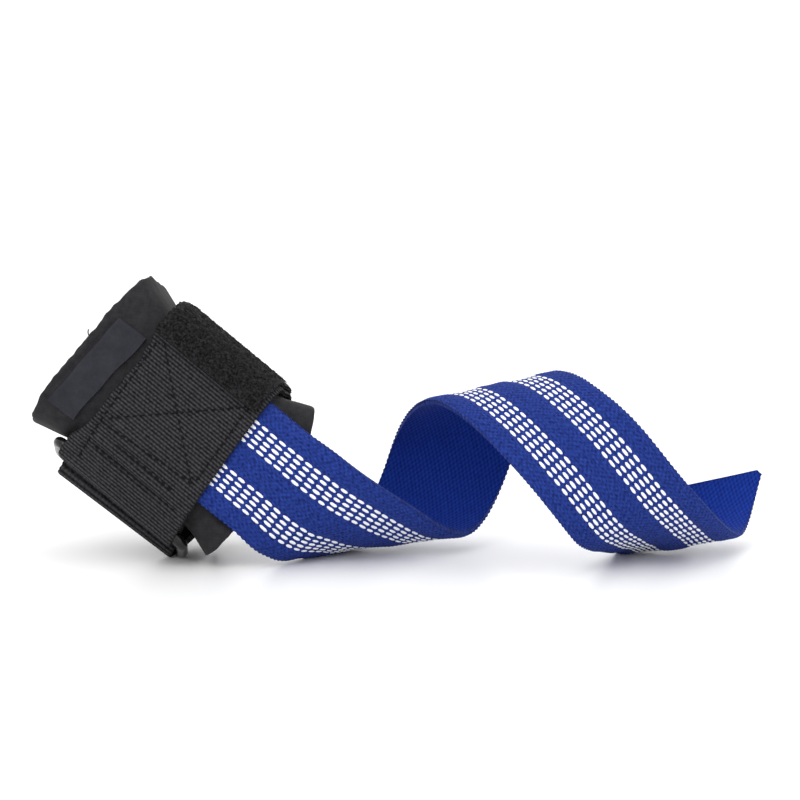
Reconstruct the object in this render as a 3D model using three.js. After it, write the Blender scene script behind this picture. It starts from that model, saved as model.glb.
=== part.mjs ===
// Lifting strap: a padded wrist cuff with a woven pull strap that lies on the floor in one open coil.
// Millimetres, +Z up, resting on Z = 0, seen from -Y. All free shapes are worked out from the sizes below.
import * as THREE from 'three';

// Clear gap between two neighbouring layers of cloth
const GAP = 0.3;

// Pull strap: woven tape, sewn under the wrist band at one end and cut on the slant at the other
const STRAP_WIDTH = 40;
const STRAP_THICK = 2;
const STRAP_SEWN = 44;
const STRAP_LENGTH = 313;
const STRAP_END_SLANT = 22;
const STRAP_TIP_CUT = 2;
const STRAP_EDGE = 1.2;
const STRAP_EDGE_THICK = 0.55;
const STRAP_STEP = 1;
const STRAP_ROWS = 116;
const STRAP_COLUMNS = 10;

// How the strap turns along its length: at (mm from the cuff), roll (degrees per mm about the fold line)
// and slant (degrees of the fold line from square across the strap)
const STRAP_FOLDS = [
  { at: 0, roll: 0.9, slant: 19 },
  { at: 20, roll: 1.4, slant: 19 },
  { at: 40, roll: 1.45, slant: 46 },
  { at: 60, roll: 1.55, slant: 48 },
  { at: 80, roll: 2.4, slant: 27 },
  { at: 105, roll: 2.15, slant: 27 },
  { at: 130, roll: 2.2, slant: 38 },
  { at: 155, roll: 1.85, slant: 27 },
  { at: 180, roll: 1.25, slant: 27 },
  { at: 205, roll: 1.55, slant: 15 },
  { at: 230, roll: 1.9, slant: 26 },
  { at: 255, roll: 1.2, slant: 35 },
  { at: 280, roll: 2.65, slant: 25 },
  { at: 315, roll: 2.6, slant: 25 },
];
// Length over which the strap's curve across its width, taken from the cuff's face, flattens out
const STRAP_FLATTEN = 36;

// Cuff: where the strap leaves it, and how its axis lies (degrees)
const CUFF_PLACE = new THREE.Vector3(-50.5, -8.5, 36);
const CUFF_HEADING = -14.5;
const CUFF_DIP = 37.5;
const CUFF_FACE_TILT = 14;

// Section of the cuff: a rounded-square oval, measured on the pad's outer face under the band
const OVAL_HALF_HEIGHT = 26.5;
const OVAL_HALF_DEPTH = 22;
const OVAL_POWER = 4;
const OVAL_CENTRE_UP = -3.8;
const OVAL_STEPS = 720;
// The cuff is worn a little askew: mm along the axis for each mm up the face
const CUFF_SKEW = -0.06;

// Foam pad, with its butt joint at the lower back and its ends flared past the band
const PAD_THICK = 4.5;
const PAD_LEFT = -64.3;
const PAD_RIGHT = 5.2;
const PAD_LEFT_BULGE = 2.2;
const PAD_LEFT_SLANT = 0.08;
const PAD_RIGHT_BULGE = 4.4;
const PAD_BULGE_POWER = 0.6;
const PAD_LEFT_FLARE = 4.6;
const PAD_RIGHT_FLARE = 3.5;
const PAD_BACK_FLARE = 1.5;
const PAD_STRAP_PRESS = 2;
const PAD_EDGE_THICK = 0.3;
const PAD_JOINT_AT = -62;
const PAD_JOINT_GAP = 3;
const PAD_ROWS = 60;
const PAD_COLUMNS = 14;

// Plain smooth patch on the pad, up to the edge of the band
const PATCH_LOW = -23.5;
const PATCH_HIGH = 12.5;
const PATCH_LEFT = -62.8;
const PATCH_RIGHT = -53.4;
const PATCH_THICK = 0.8;
const PATCH_OFF = 0.5;

// Wrist band: woven tape round the pad, sewn round the ring's near bar, drawn through the ring
// round its far bar and laid back over itself
const BAND_LEFT = -53;
const BAND_RIGHT = -5;
const BAND_THICK = 1.6;
const BAND_OFF_PAD = 0.5;
const BAND_OVER_STRAP = STRAP_THICK + 3 * GAP;
const BAND_STEP = 2.5;

// Hook-and-loop tapes on the band
const TAPE_INSET = 1.5;
const LOOP_TAPE_THICK = 2;
const LOOP_TAPE_FROM = 17;
const LOOP_TAPE_TO = 104;
const HOOK_TAPE_THICK = 1.5;
const HOOK_TAPE_FROM = 76;
const HOOK_TAPE_TO = 102;

// Ring: round wire bent to a rectangle, its two long bars across the cuff
const RING_WIRE = 3.8;
const RING_NEAR_BAR = new THREE.Vector2(-34.7, -7.8);
const RING_FAR_BAR = new THREE.Vector2(-39.1, -24.5);
const RING_END_GAP = 0.9;
const RING_SIDES = 12;
const RING_CORNER_STEPS = 5;

const DEGREE = Math.PI / 180;

// Smooth step from 0 to 1 between two values
function fade(value, from, to) {
  const t = THREE.MathUtils.clamp((value - from) / (to - from), 0, 1);
  return t * t * (3 - 2 * t);
}

// Closed body from a grid of points on two faces: pointAt(row, column, side) with side +1 or -1
function sheet(rows, columns, pointAt) {
  const positions = [];
  const indices = [];
  const perFace = (rows + 1) * (columns + 1);
  const vertex = (row, column, face) => face * perFace + row * (columns + 1) + column;
  for (const side of [1, -1]) {
    for (let row = 0; row <= rows; row += 1) {
      for (let column = 0; column <= columns; column += 1) {
        positions.push(...pointAt(row / rows, column / columns, side).toArray());
      }
    }
  }
  const quad = (a, b, c, d) => indices.push(a, b, c, a, c, d);
  for (let row = 0; row < rows; row += 1) {
    for (let column = 0; column < columns; column += 1) {
      for (const face of [0, 1]) {
        const corners = [
          vertex(row, column, face),
          vertex(row + 1, column, face),
          vertex(row + 1, column + 1, face),
          vertex(row, column + 1, face),
        ];
        quad(...(face === 0 ? corners : corners.reverse()));
      }
    }
  }
  for (let row = 0; row < rows; row += 1) {
    quad(vertex(row, 0, 0), vertex(row, 0, 1), vertex(row + 1, 0, 1), vertex(row + 1, 0, 0));
    quad(
      vertex(row, columns, 1), vertex(row, columns, 0),
      vertex(row + 1, columns, 0), vertex(row + 1, columns, 1),
    );
  }
  for (let column = 0; column < columns; column += 1) {
    quad(vertex(0, column, 1), vertex(0, column, 0), vertex(0, column + 1, 0), vertex(0, column + 1, 1));
    quad(
      vertex(rows, column, 0), vertex(rows, column, 1),
      vertex(rows, column + 1, 1), vertex(rows, column + 1, 0),
    );
  }
  return facingOut(positions, indices);
}

// Closed tube from a loop of rings of points
function closedTube(rings) {
  const sides = rings[0].length;
  const positions = rings.flat().flatMap((point) => point.toArray());
  const indices = [];
  rings.forEach((ring, index) => {
    const here = index * sides;
    const next = ((index + 1) % rings.length) * sides;
    for (let side = 0; side < sides; side += 1) {
      const after = (side + 1) % sides;
      indices.push(here + side, next + side, next + after);
      indices.push(here + side, next + after, here + after);
    }
  });
  return facingOut(positions, indices);
}

// Indexed geometry with its faces turned outwards
function facingOut(positions, indices) {
  let volume = 0;
  const corner = (index) => new THREE.Vector3().fromArray(positions, 3 * index);
  for (let start = 0; start < indices.length; start += 3) {
    const [a, b, c] = indices.slice(start, start + 3).map(corner);
    volume += a.dot(b.cross(c));
  }
  const geometry = new THREE.BufferGeometry();
  geometry.setAttribute('position', new THREE.Float32BufferAttribute(positions, 3));
  geometry.setIndex(volume < 0 ? indices.toReversed() : indices);
  geometry.computeVertexNormals();
  return geometry;
}

// Cuff frame: X along its axis to the strap's side, Y up its face, Z out of its face
function cuffFrame() {
  const heading = CUFF_HEADING * DEGREE;
  const dip = CUFF_DIP * DEGREE;
  const tilt = CUFF_FACE_TILT * DEGREE;
  const level = new THREE.Vector3(Math.cos(heading), Math.sin(heading), 0);
  const axis = level.clone().multiplyScalar(Math.cos(dip)).setZ(-Math.sin(dip));
  const rise = level.clone().multiplyScalar(Math.sin(dip)).setZ(Math.cos(dip));
  const side = new THREE.Vector3().crossVectors(axis, rise);
  const face = side.multiplyScalar(Math.cos(tilt)).addScaledVector(rise, Math.sin(tilt));
  const up = new THREE.Vector3().crossVectors(face, axis);
  return new THREE.Matrix4().makeBasis(axis, up, face).setPosition(CUFF_PLACE);
}

const CUFF = cuffFrame();
const CUFF_INVERSE = CUFF.clone().invert();

// Cloth that would reach below the floor lies flat on it
function onFloor(point) {
  return point.setZ(Math.max(point.z, 0));
}

// The same for a point in the cuff's own frame
function cuffOnFloor(point) {
  return onFloor(point.applyMatrix4(CUFF)).applyMatrix4(CUFF_INVERSE);
}

// The oval: a closed curve in the cuff's section, walked by its length from the middle of the face, up first
function makeOval() {
  const depthCentre = -(STRAP_THICK / 2 + 1.5 * GAP + OVAL_HALF_DEPTH);
  const points = [];
  for (let step = 0; step <= OVAL_STEPS; step += 1) {
    const angle = (step / OVAL_STEPS) * 2 * Math.PI;
    const high = Math.abs(Math.sin(angle) / OVAL_HALF_HEIGHT) ** OVAL_POWER;
    const deep = Math.abs(Math.cos(angle) / OVAL_HALF_DEPTH) ** OVAL_POWER;
    const radius = (high + deep) ** (-1 / OVAL_POWER);
    const up = OVAL_CENTRE_UP + radius * Math.sin(angle);
    points.push(new THREE.Vector2(up, depthCentre + radius * Math.cos(angle)));
  }
  const lengths = [0];
  for (let step = 1; step <= OVAL_STEPS; step += 1) {
    lengths.push(lengths[step - 1] + points[step].distanceTo(points[step - 1]));
  }
  const total = lengths[OVAL_STEPS];
  const pointAt = (length) => {
    const wrapped = ((length % total) + total) % total;
    const step = Math.min(lengths.findLastIndex((value) => value <= wrapped), OVAL_STEPS - 1);
    const part = (wrapped - lengths[step]) / (lengths[step + 1] - lengths[step]);
    return points[step].clone().lerp(points[step + 1], part);
  };
  const reach = 0.6;
  const normalAt = (length) => {
    const along = pointAt(length + reach).sub(pointAt(length - reach)).normalize();
    return new THREE.Vector2(-along.y, along.x);
  };
  const offset = (length, out) => pointAt(length).addScaledVector(normalAt(length), out);
  return { total, pointAt, normalAt, offset };
}

const OVAL = makeOval();

// Point in the cuff's frame from a place along its axis and a point of its section
function inCuff(along, section) {
  return new THREE.Vector3(along + CUFF_SKEW * section.x, section.x, section.y);
}

// Value of one column of a table at a place along it, eased from row to row
function column(table, name, at) {
  const next = table.findIndex((row) => row.at > at);
  if (next === 0) return table[0][name];
  if (next < 0) return table[table.length - 1][name];
  const share = fade(at, table[next - 1].at, table[next].at);
  return THREE.MathUtils.lerp(table[next - 1][name], table[next][name], share);
}

// Strap as a flat strip bent along slanted fold lines: its middle line with a frame at each step
function walkStrap() {
  const along = new THREE.Vector3();
  const up = new THREE.Vector3();
  const face = new THREE.Vector3();
  CUFF.extractBasis(along, up, face);
  const place = CUFF_PLACE.clone().addScaledVector(along, -STRAP_SEWN);
  const steps = [];
  for (let at = -STRAP_SEWN; at <= STRAP_LENGTH + STRAP_WIDTH; at += STRAP_STEP) {
    const slant = Math.tan(column(STRAP_FOLDS, 'slant', at) * DEGREE);
    const roll = at < 0 ? 0 : column(STRAP_FOLDS, 'roll', at) * DEGREE;
    const fold = up.clone().addScaledVector(along, slant);
    steps.push({ at, slant, place: place.clone(), fold: fold.clone(), face: face.clone() });
    place.addScaledVector(along, STRAP_STEP / 2);
    const turn = new THREE.Quaternion().setFromAxisAngle(fold.normalize(), roll * STRAP_STEP);
    for (const vector of [along, up, face]) {
      vector.applyQuaternion(turn);
    }
    place.addScaledVector(along, STRAP_STEP / 2);
  }
  return steps;
}

const STRAP_STEPS = walkStrap();

// How far the cuff's face falls behind the strap's flat plane at a place across the strap
function faceDrop(across) {
  const apex = OVAL.pointAt(0);
  const reach = across - apex.x;
  let length = reach;
  for (let pass = 0; pass < 6; pass += 1) {
    length += reach - (OVAL.pointAt(length).x - apex.x);
  }
  return apex.y - OVAL.pointAt(length).y;
}

// Point of the strap at a length from the cuff, a place across it and a height off its middle layer
function strapPoint(length, across, lift, drop) {
  const reached = (step) => step.at + across * step.slant;
  const next = Math.max(1, STRAP_STEPS.findIndex((step) => reached(step) >= length));
  const before = STRAP_STEPS[next - 1];
  const after = STRAP_STEPS[next];
  const share = (length - reached(before)) / (reached(after) - reached(before));
  const here = before.place.clone().addScaledVector(before.fold, across);
  const there = after.place.clone().addScaledVector(after.fold, across);
  const face = before.face.clone().lerp(after.face, share);
  const sunk = drop * (1 - fade(length, 0, STRAP_FLATTEN));
  return here.lerp(there, share).addScaledVector(face, lift - sunk);
}

function strapGeometry() {
  const half = STRAP_WIDTH / 2;
  return sheet(STRAP_ROWS, STRAP_COLUMNS, (rowShare, columnShare, side) => {
    const across = half * Math.sin((columnShare - 0.5) * Math.PI);
    const toEdge = half - Math.abs(across);
    const edge = THREE.MathUtils.lerp(STRAP_EDGE_THICK, 1, fade(toEdge, 0, STRAP_EDGE));
    const cut = STRAP_END_SLANT * (half - across) / STRAP_WIDTH + STRAP_TIP_CUT * fade(across, half - 2, half);
    const length = THREE.MathUtils.lerp(-STRAP_SEWN, STRAP_LENGTH - cut, rowShare);
    return onFloor(strapPoint(length, across, side * edge * STRAP_THICK / 2, faceDrop(across)));
  });
}

// Share of the strap's cover over a place round the oval: 1 under it, 0 past its selvedges and at the back
function underStrap(length) {
  const half = STRAP_WIDTH / 2;
  const covered = 1 - fade(Math.abs(OVAL.pointAt(length).x), half - STRAP_EDGE, half + STRAP_THICK);
  return OVAL.normalAt(length).y > 0 ? covered : 0;
}

// How far the pad's outer face stands off the oval: flared towards its ends, pressed in by the strap
function padFlare(length, along) {
  const normal = OVAL.normalAt(length);
  const right = along > BAND_RIGHT;
  const past = right ? along - BAND_RIGHT : BAND_LEFT - along;
  const under = right ? underStrap(length) : 0;
  const sides = (right ? PAD_RIGHT_FLARE : PAD_LEFT_FLARE) * normal.x ** 2;
  const behind = PAD_BACK_FLARE * Math.max(0, -normal.y);
  const spread = THREE.MathUtils.lerp(sides + behind, -PAD_STRAP_PRESS, under);
  return spread * fade(past, 0, PAD_RIGHT - BAND_RIGHT);
}

// Ends of the pad at a place round the oval: fullest on the face, shortest at the back
function padEnds(length) {
  const facing = OVAL.normalAt(length).y;
  const bulge = Math.sign(facing) * Math.abs(facing) ** PAD_BULGE_POWER;
  const slant = PAD_LEFT_SLANT * OVAL.pointAt(length).x;
  return [PAD_LEFT + slant - PAD_LEFT_BULGE * bulge, PAD_RIGHT + PAD_RIGHT_BULGE * bulge];
}

function padGeometry() {
  const from = PAD_JOINT_AT + PAD_JOINT_GAP / 2;
  const to = PAD_JOINT_AT + OVAL.total - PAD_JOINT_GAP / 2;
  return sheet(PAD_ROWS, PAD_COLUMNS, (rowShare, columnShare, side) => {
    const length = THREE.MathUtils.lerp(from, to, rowShare);
    const [left, right] = padEnds(length);
    const spaced = 0.5 + 0.5 * Math.sin((columnShare - 0.5) * Math.PI);
    const along = THREE.MathUtils.lerp(left, right, spaced);
    const toEdge = Math.min(along - left, right - along);
    const round = Math.sqrt(1 - (1 - Math.min(1, toEdge / (PAD_THICK / 2))) ** 2);
    const half = PAD_THICK / 2 * THREE.MathUtils.lerp(PAD_EDGE_THICK, 1, round);
    const out = padFlare(length, along) - PAD_THICK / 2 + side * half;
    return cuffOnFloor(inCuff(along, OVAL.offset(length, out)));
  });
}

function patchGeometry() {
  const rows = 14;
  const columns = 6;
  return sheet(rows, columns, (rowShare, columnShare, side) => {
    const length = THREE.MathUtils.lerp(PATCH_LOW, PATCH_HIGH, rowShare);
    const along = THREE.MathUtils.lerp(PATCH_LEFT, PATCH_RIGHT, columnShare);
    const out = padFlare(length, along) + PATCH_OFF + (side > 0 ? PATCH_THICK : 0);
    return inCuff(along, OVAL.offset(length, out));
  });
}

// Points of a layer that follows the oval, with its height off the oval eased through a few places
function layerRun(places) {
  const first = places[0].at;
  const last = places[places.length - 1].at;
  const count = Math.ceil(Math.abs(last - first) / BAND_STEP);
  const rising = last > first ? places : places.toReversed();
  const points = [];
  for (let index = 0; index <= count; index += 1) {
    const at = THREE.MathUtils.lerp(first, last, index / count);
    points.push(OVAL.offset(at, column(rising, 'off', at)));
  }
  return points;
}

// Points of a layer round one bar of the ring, between two directions in degrees
function barWrap(bar, fromDegrees, toDegrees) {
  const radius = RING_WIRE / 2 + GAP + BAND_THICK / 2;
  const count = 12;
  const points = [];
  for (let index = 0; index <= count; index += 1) {
    const angle = THREE.MathUtils.lerp(fromDegrees, toDegrees, index / count) * DEGREE;
    points.push(new THREE.Vector2(Math.cos(angle), Math.sin(angle)).multiplyScalar(radius).add(bar));
  }
  return points;
}

// Body of one layer of tape: its middle line in the cuff's section, made thick and carried along the axis
function layerGeometry(line, thick, left, right) {
  const normals = line.map((point, index) => {
    const before = line[Math.max(0, index - 1)];
    const after = line[Math.min(line.length - 1, index + 1)];
    const along = after.clone().sub(before).normalize();
    return new THREE.Vector2(-along.y, along.x);
  });
  return sheet(line.length - 1, 2, (rowShare, columnShare, side) => {
    const index = Math.round(rowShare * (line.length - 1));
    const section = line[index].clone().addScaledVector(normals[index], side * thick / 2);
    return cuffOnFloor(inCuff(THREE.MathUtils.lerp(left, right, columnShare), section));
  });
}

// Heights of the layers' middle lines off the oval
const OFF_BAND = BAND_OFF_PAD + BAND_THICK / 2;
const OFF_BAND_FRONT = BAND_OVER_STRAP + BAND_THICK / 2;
const OFF_LOOP_BACK = OFF_BAND + BAND_THICK / 2 + GAP + LOOP_TAPE_THICK / 2;
const OFF_LOOP_FRONT = OFF_BAND_FRONT + BAND_THICK / 2 + GAP + LOOP_TAPE_THICK / 2;
const OFF_HOOK = OFF_LOOP_BACK + LOOP_TAPE_THICK / 2 + GAP + HOOK_TAPE_THICK / 2;
const OFF_RETURN = OFF_HOOK + HOOK_TAPE_THICK / 2 + GAP + BAND_THICK / 2;

// Places round the oval where the band changes its height
const AT_FLAP_END = -17.8;
const AT_FLAP_LEAVES = -24;
const AT_FRONT_LEAVES = -19;
const AT_STRAP_TOP = 25;
const AT_OVER_TOP = 38;
const AT_LOWER_BACK = 112;
const AT_FAR_BAR = 127;
const AT_RETURN_END = 72;

function bandLine() {
  const flap = layerRun([{ at: AT_FLAP_END, off: OFF_BAND }, { at: AT_FLAP_LEAVES, off: OFF_BAND }]);
  const nearBar = barWrap(RING_NEAR_BAR, 318, 115);
  const toFarBar = layerRun([
    { at: AT_FRONT_LEAVES, off: OFF_BAND_FRONT },
    { at: AT_STRAP_TOP, off: OFF_BAND_FRONT },
    { at: AT_OVER_TOP, off: OFF_BAND },
    { at: AT_LOWER_BACK, off: OFF_BAND },
    { at: AT_FAR_BAR, off: OVAL.pointAt(AT_FAR_BAR).x - RING_FAR_BAR.x - RING_WIRE / 2 - GAP - BAND_THICK / 2 },
  ]);
  const farBar = barWrap(RING_FAR_BAR, 30, 180);
  const back = layerRun([
    { at: AT_FAR_BAR, off: OVAL.pointAt(AT_FAR_BAR).x - RING_FAR_BAR.x + RING_WIRE / 2 + GAP + BAND_THICK / 2 },
    { at: AT_LOWER_BACK, off: OFF_RETURN },
    { at: AT_RETURN_END, off: OFF_RETURN },
  ]);
  return [...flap, ...nearBar, ...toFarBar, ...farBar, ...back];
}

function loopTapeLine() {
  return layerRun([
    { at: LOOP_TAPE_FROM, off: OFF_LOOP_FRONT },
    { at: AT_STRAP_TOP, off: OFF_LOOP_FRONT },
    { at: AT_OVER_TOP, off: OFF_LOOP_BACK },
    { at: LOOP_TAPE_TO, off: OFF_LOOP_BACK },
  ]);
}

function hookTapeLine() {
  return layerRun([{ at: HOOK_TAPE_FROM, off: OFF_HOOK }, { at: HOOK_TAPE_TO, off: OFF_HOOK }]);
}

// Ring wire: a rectangle with round corners in the plane of its two bars
function ringGeometry() {
  const radius = RING_WIRE / 2;
  const across = RING_FAR_BAR.clone().sub(RING_NEAR_BAR);
  const depth = across.length();
  const deep = inCuff(0, across.clone().normalize());
  const axis = new THREE.Vector3(1, 0, 0);
  const normal = new THREE.Vector3().crossVectors(axis, deep);
  const near = inCuff(0, RING_NEAR_BAR);
  const left = BAND_LEFT - RING_END_GAP - radius;
  const right = BAND_RIGHT + RING_END_GAP + radius;
  const bend = RING_WIRE;
  const corners = [
    { along: right - bend, deep: bend, from: -90 },
    { along: right - bend, deep: depth - bend, from: 0 },
    { along: left + bend, deep: depth - bend, from: 90 },
    { along: left + bend, deep: bend, from: 180 },
  ];
  const rings = corners.flatMap((corner) => {
    const stations = [...Array(RING_CORNER_STEPS + 1).keys()];
    return stations.map((step) => {
      const angle = (corner.from + 90 * step / RING_CORNER_STEPS) * DEGREE;
      const outward = axis.clone().multiplyScalar(Math.cos(angle)).addScaledVector(deep, Math.sin(angle));
      const centre = near.clone().addScaledVector(axis, corner.along).addScaledVector(deep, corner.deep);
      centre.addScaledVector(outward, bend);
      return [...Array(RING_SIDES).keys()].map((side) => {
        const turn = (side / RING_SIDES) * 2 * Math.PI;
        const point = centre.clone().addScaledVector(outward, radius * Math.cos(turn));
        return point.addScaledVector(normal, radius * Math.sin(turn));
      });
    });
  });
  return closedTube(rings);
}

function piece(name, geometry, colour, roughness, metalness = 0) {
  const material = new THREE.MeshStandardMaterial({ color: colour, roughness, metalness });
  const mesh = new THREE.Mesh(geometry, material);
  mesh.name = name;
  return mesh;
}

const tapeLeft = BAND_LEFT + TAPE_INSET;
const tapeRight = BAND_RIGHT - TAPE_INSET;

const cuff = new THREE.Group();
cuff.applyMatrix4(CUFF);
cuff.add(
  piece('wrist_pad', padGeometry(), '#1d1e21', 0.9),
  piece('pad_patch', patchGeometry(), '#2b2f3a', 0.55),
  piece('wrist_band', layerGeometry(bandLine(), BAND_THICK, BAND_LEFT, BAND_RIGHT), '#222224', 0.85),
  piece('loop_tape', layerGeometry(loopTapeLine(), LOOP_TAPE_THICK, tapeLeft, tapeRight), '#151516', 1),
  piece('hook_tape', layerGeometry(hookTapeLine(), HOOK_TAPE_THICK, tapeLeft, tapeRight), '#151516', 0.8),
  piece('cinch_ring', ringGeometry(), '#0d0d0e', 0.25, 0.2),
);

const object = new THREE.Group();
object.add(cuff, piece('lifting_strap', strapGeometry(), '#243a8c', 0.9));

// The origin is the middle of the object's box, on the floor
object.updateMatrixWorld(true);
const box = new THREE.Box3().setFromObject(object, true);
object.position.set(-(box.min.x + box.max.x) / 2, -(box.min.y + box.max.y) / 2, -box.min.z);

export default object;
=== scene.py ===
"""Lifting strap: a padded wrist cuff and its woven pull strap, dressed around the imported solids.

Sizes are in mm and angles in degrees where nothing else is said.
"""

import logging
import math
from dataclasses import dataclass, field
from enum import Enum
from typing import Callable, Sequence

import bpy
import numpy as np
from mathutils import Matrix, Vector


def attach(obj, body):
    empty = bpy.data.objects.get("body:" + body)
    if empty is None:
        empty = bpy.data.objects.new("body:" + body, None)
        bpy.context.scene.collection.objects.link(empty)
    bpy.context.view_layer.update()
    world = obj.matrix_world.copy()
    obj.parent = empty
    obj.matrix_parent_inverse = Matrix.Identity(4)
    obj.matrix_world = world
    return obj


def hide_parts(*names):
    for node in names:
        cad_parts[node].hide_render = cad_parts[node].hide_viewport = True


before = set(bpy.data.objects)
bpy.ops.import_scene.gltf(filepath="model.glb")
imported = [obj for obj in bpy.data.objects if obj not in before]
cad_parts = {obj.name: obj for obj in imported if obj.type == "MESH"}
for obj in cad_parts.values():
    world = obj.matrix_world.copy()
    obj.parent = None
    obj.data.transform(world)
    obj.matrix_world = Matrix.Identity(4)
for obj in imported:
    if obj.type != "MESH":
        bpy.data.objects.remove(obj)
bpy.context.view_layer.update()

LOG = logging.getLogger("lifting_strap")
MM = 0.001
TURN = 2 * math.pi
QUARTER = math.pi / 2
BODY = "root"
CLOTH_MAP = "cloth"

Array = np.ndarray
Pair = tuple[float, float]
Triple = tuple[float, float, float]
Object = bpy.types.Object
Socket = bpy.types.NodeSocket
Mapper = Callable[[Array, Array, Array], Array]
Relief = Callable[[Array, Array], tuple[Array, Array]]
# vertices in mm, faces and cloth coordinates in mm
MeshData = tuple[Array, list[list[int]], Array]


class Face(Enum):
    """Which material slot a part of a shell takes."""

    FRONT = 0
    BACK = 1


class Grain(Enum):
    """How the yarns of a cloth show."""

    CHECK = "check"
    RIB = "rib"
    FLECK = "fleck"
    FELT = "felt"


def fade(value: Array | float, start: float, stop: float) -> Array:
    """Smooth step.

    Args:
        value: places.
        start: place where it is 0.
        stop: place where it is 1.

    Returns:
        Values from 0 to 1.
    """
    share = np.clip((np.asarray(value, float) - start) / (stop - start), 0.0, 1.0)
    return share * share * (3.0 - 2.0 * share)


def blend(low: Array | float, high: Array | float, share: Array) -> Array:
    """Straight mix of two values by a share."""
    return low + (high - low) * share


def on_floor(points: Array) -> Array:
    """Points with none below the floor.

    Args:
        points: points with a last axis of three.

    Returns:
        A copy with the low ones raised.
    """
    points = points.copy()
    points[..., 2] = np.maximum(points[..., 2], 0.0)
    return points


def link(name: str, data: bpy.types.ID) -> Object:
    """New object in the scene.

    Args:
        name: the object's name.
        data: its mesh, camera or light.

    Returns:
        The object.
    """
    made = bpy.data.objects.new(name, data)
    bpy.context.scene.collection.objects.link(made)
    return made


def aim(made: Object, way: Vector) -> None:
    """Turns a camera or a light to look along a direction."""
    made.rotation_mode = "QUATERNION"
    made.rotation_quaternion = way.to_track_quat("-Z", "Y")


@dataclass(frozen=True)
class Swell:
    """Slow soft unevenness of cloth, the same on each run: height and wavelength in mm, and a seed."""

    height: float
    seed: int
    wave: float
    # how many waves are summed, and their wavelengths as shares of the typical one
    waves: int = 7
    spread: Pair = (0.7, 1.6)

    def at(self, along: Array, across: Array | float) -> Array:
        """Heights at places on the cloth.

        Args:
            along: first coordinate in mm.
            across: second coordinate in mm.

        Returns:
            Heights of about this swell's own height, up and down.
        """
        rng = np.random.default_rng(self.seed)
        total = np.zeros(np.broadcast(along, across).shape)
        for _ in range(self.waves):
            turn = rng.uniform(0, TURN)
            pitch = TURN / (self.wave * rng.uniform(*self.spread))
            start = rng.uniform(0, TURN)
            total = total + np.sin(pitch * (along * math.cos(turn) + across * math.sin(turn)) + start)
        return self.height * (total / math.sqrt(self.waves * 2.0))


@dataclass(frozen=True)
class CuffPlace:
    """Where the cuff lies: its axis, the way up its face and the way out of it."""

    origin: Triple = (-50.5, -8.5, 36.0)
    shift: Triple = (-1.871, -17.183, 0.0)
    heading: float = -14.5
    dip: float = 37.5
    face_tilt: float = 14.0
    skew: float = -0.06

    def basis(self) -> tuple[Array, Array, Array]:
        """Directions of the cuff.

        Returns:
            Unit vectors along the axis, up the face and out of the face.
        """
        heading, dip, tilt = (math.radians(a) for a in (self.heading, self.dip, self.face_tilt))
        level = np.array([math.cos(heading), math.sin(heading), 0.0])
        axis = level * math.cos(dip) - np.array([0.0, 0.0, math.sin(dip)])
        rise = level * math.sin(dip) + np.array([0.0, 0.0, math.cos(dip)])
        face = np.cross(axis, rise) * math.cos(tilt) + rise * math.sin(tilt)
        return axis, np.cross(face, axis), face

    def world(self, along: Array, up: Array, out: Array) -> Array:
        """Points in the object's frame, in mm, kept on or above the floor.

        Args:
            along: places along the axis.
            up: places up the face.
            out: places out of the face.

        Returns:
            Points with a last axis of three.
        """
        axis, rise, face = self.basis()
        skewed = along + self.skew * up
        points = (
            np.asarray(self.origin)
            + skewed[..., None] * axis
            + np.asarray(up)[..., None] * rise
            + np.asarray(out)[..., None] * face
        )
        return on_floor(points) + np.asarray(self.shift)

    def section(self, along: Array, places: Array) -> Array:
        """Points from places along the axis and places up and out with a last axis of two."""
        return self.world(along, places[..., 0], places[..., 1])


@dataclass
class Oval:
    """Section of the cuff: a rounded-square oval.

    It is walked by its length from the middle of the face, up first.
    """

    half_height: float = 26.5
    half_depth: float = 22.0
    power: float = 4.0
    centre_up: float = -3.8
    behind_face: float = 1.45
    steps: int = 2880
    total: float = field(init=False, default=0.0)

    def __post_init__(self) -> None:
        """Walks the oval once."""
        angle = np.linspace(0.0, TURN, self.steps + 1)
        high = np.abs(np.sin(angle) / self.half_height) ** self.power
        deep = np.abs(np.cos(angle) / self.half_depth) ** self.power
        radius = (high + deep) ** (-1.0 / self.power)
        self._up = self.centre_up + radius * np.sin(angle)
        self._out = -(self.behind_face + self.half_depth) + radius * np.cos(angle)
        lengths = np.hypot(np.diff(self._up), np.diff(self._out))
        self._length = np.concatenate([[0.0], np.cumsum(lengths)])
        self.total = float(self._length[-1])

    def point(self, length: Array) -> tuple[Array, Array]:
        """Places up and out at lengths round the oval."""
        wrapped = np.mod(length, self.total)
        return np.interp(wrapped, self._length, self._up), np.interp(wrapped, self._length, self._out)

    def normal(self, length: Array, reach: float = 0.6) -> tuple[Array, Array]:
        """Outward directions of the oval.

        Args:
            length: lengths round the oval.
            reach: how far before and behind the slope is taken.

        Returns:
            Shares up and out.
        """
        ahead, behind = self.point(length + reach), self.point(length - reach)
        up, out = ahead[0] - behind[0], ahead[1] - behind[1]
        size = np.hypot(up, out)
        return -out / size, up / size

    def offset(self, length: Array, away: Array) -> tuple[Array, Array]:
        """Places up and out at a height off the oval."""
        point, normal = self.point(length), self.normal(length)
        return point[0] + normal[0] * away, point[1] + normal[1] * away


CUFF = CuffPlace()
OVAL = Oval()
# where the wrist band's edges lie along the cuff's axis, and the pull strap's width, in mm
BAND_SIDES = (-53.0, -5.0)
STRAP_WIDTH = 40.0


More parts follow.
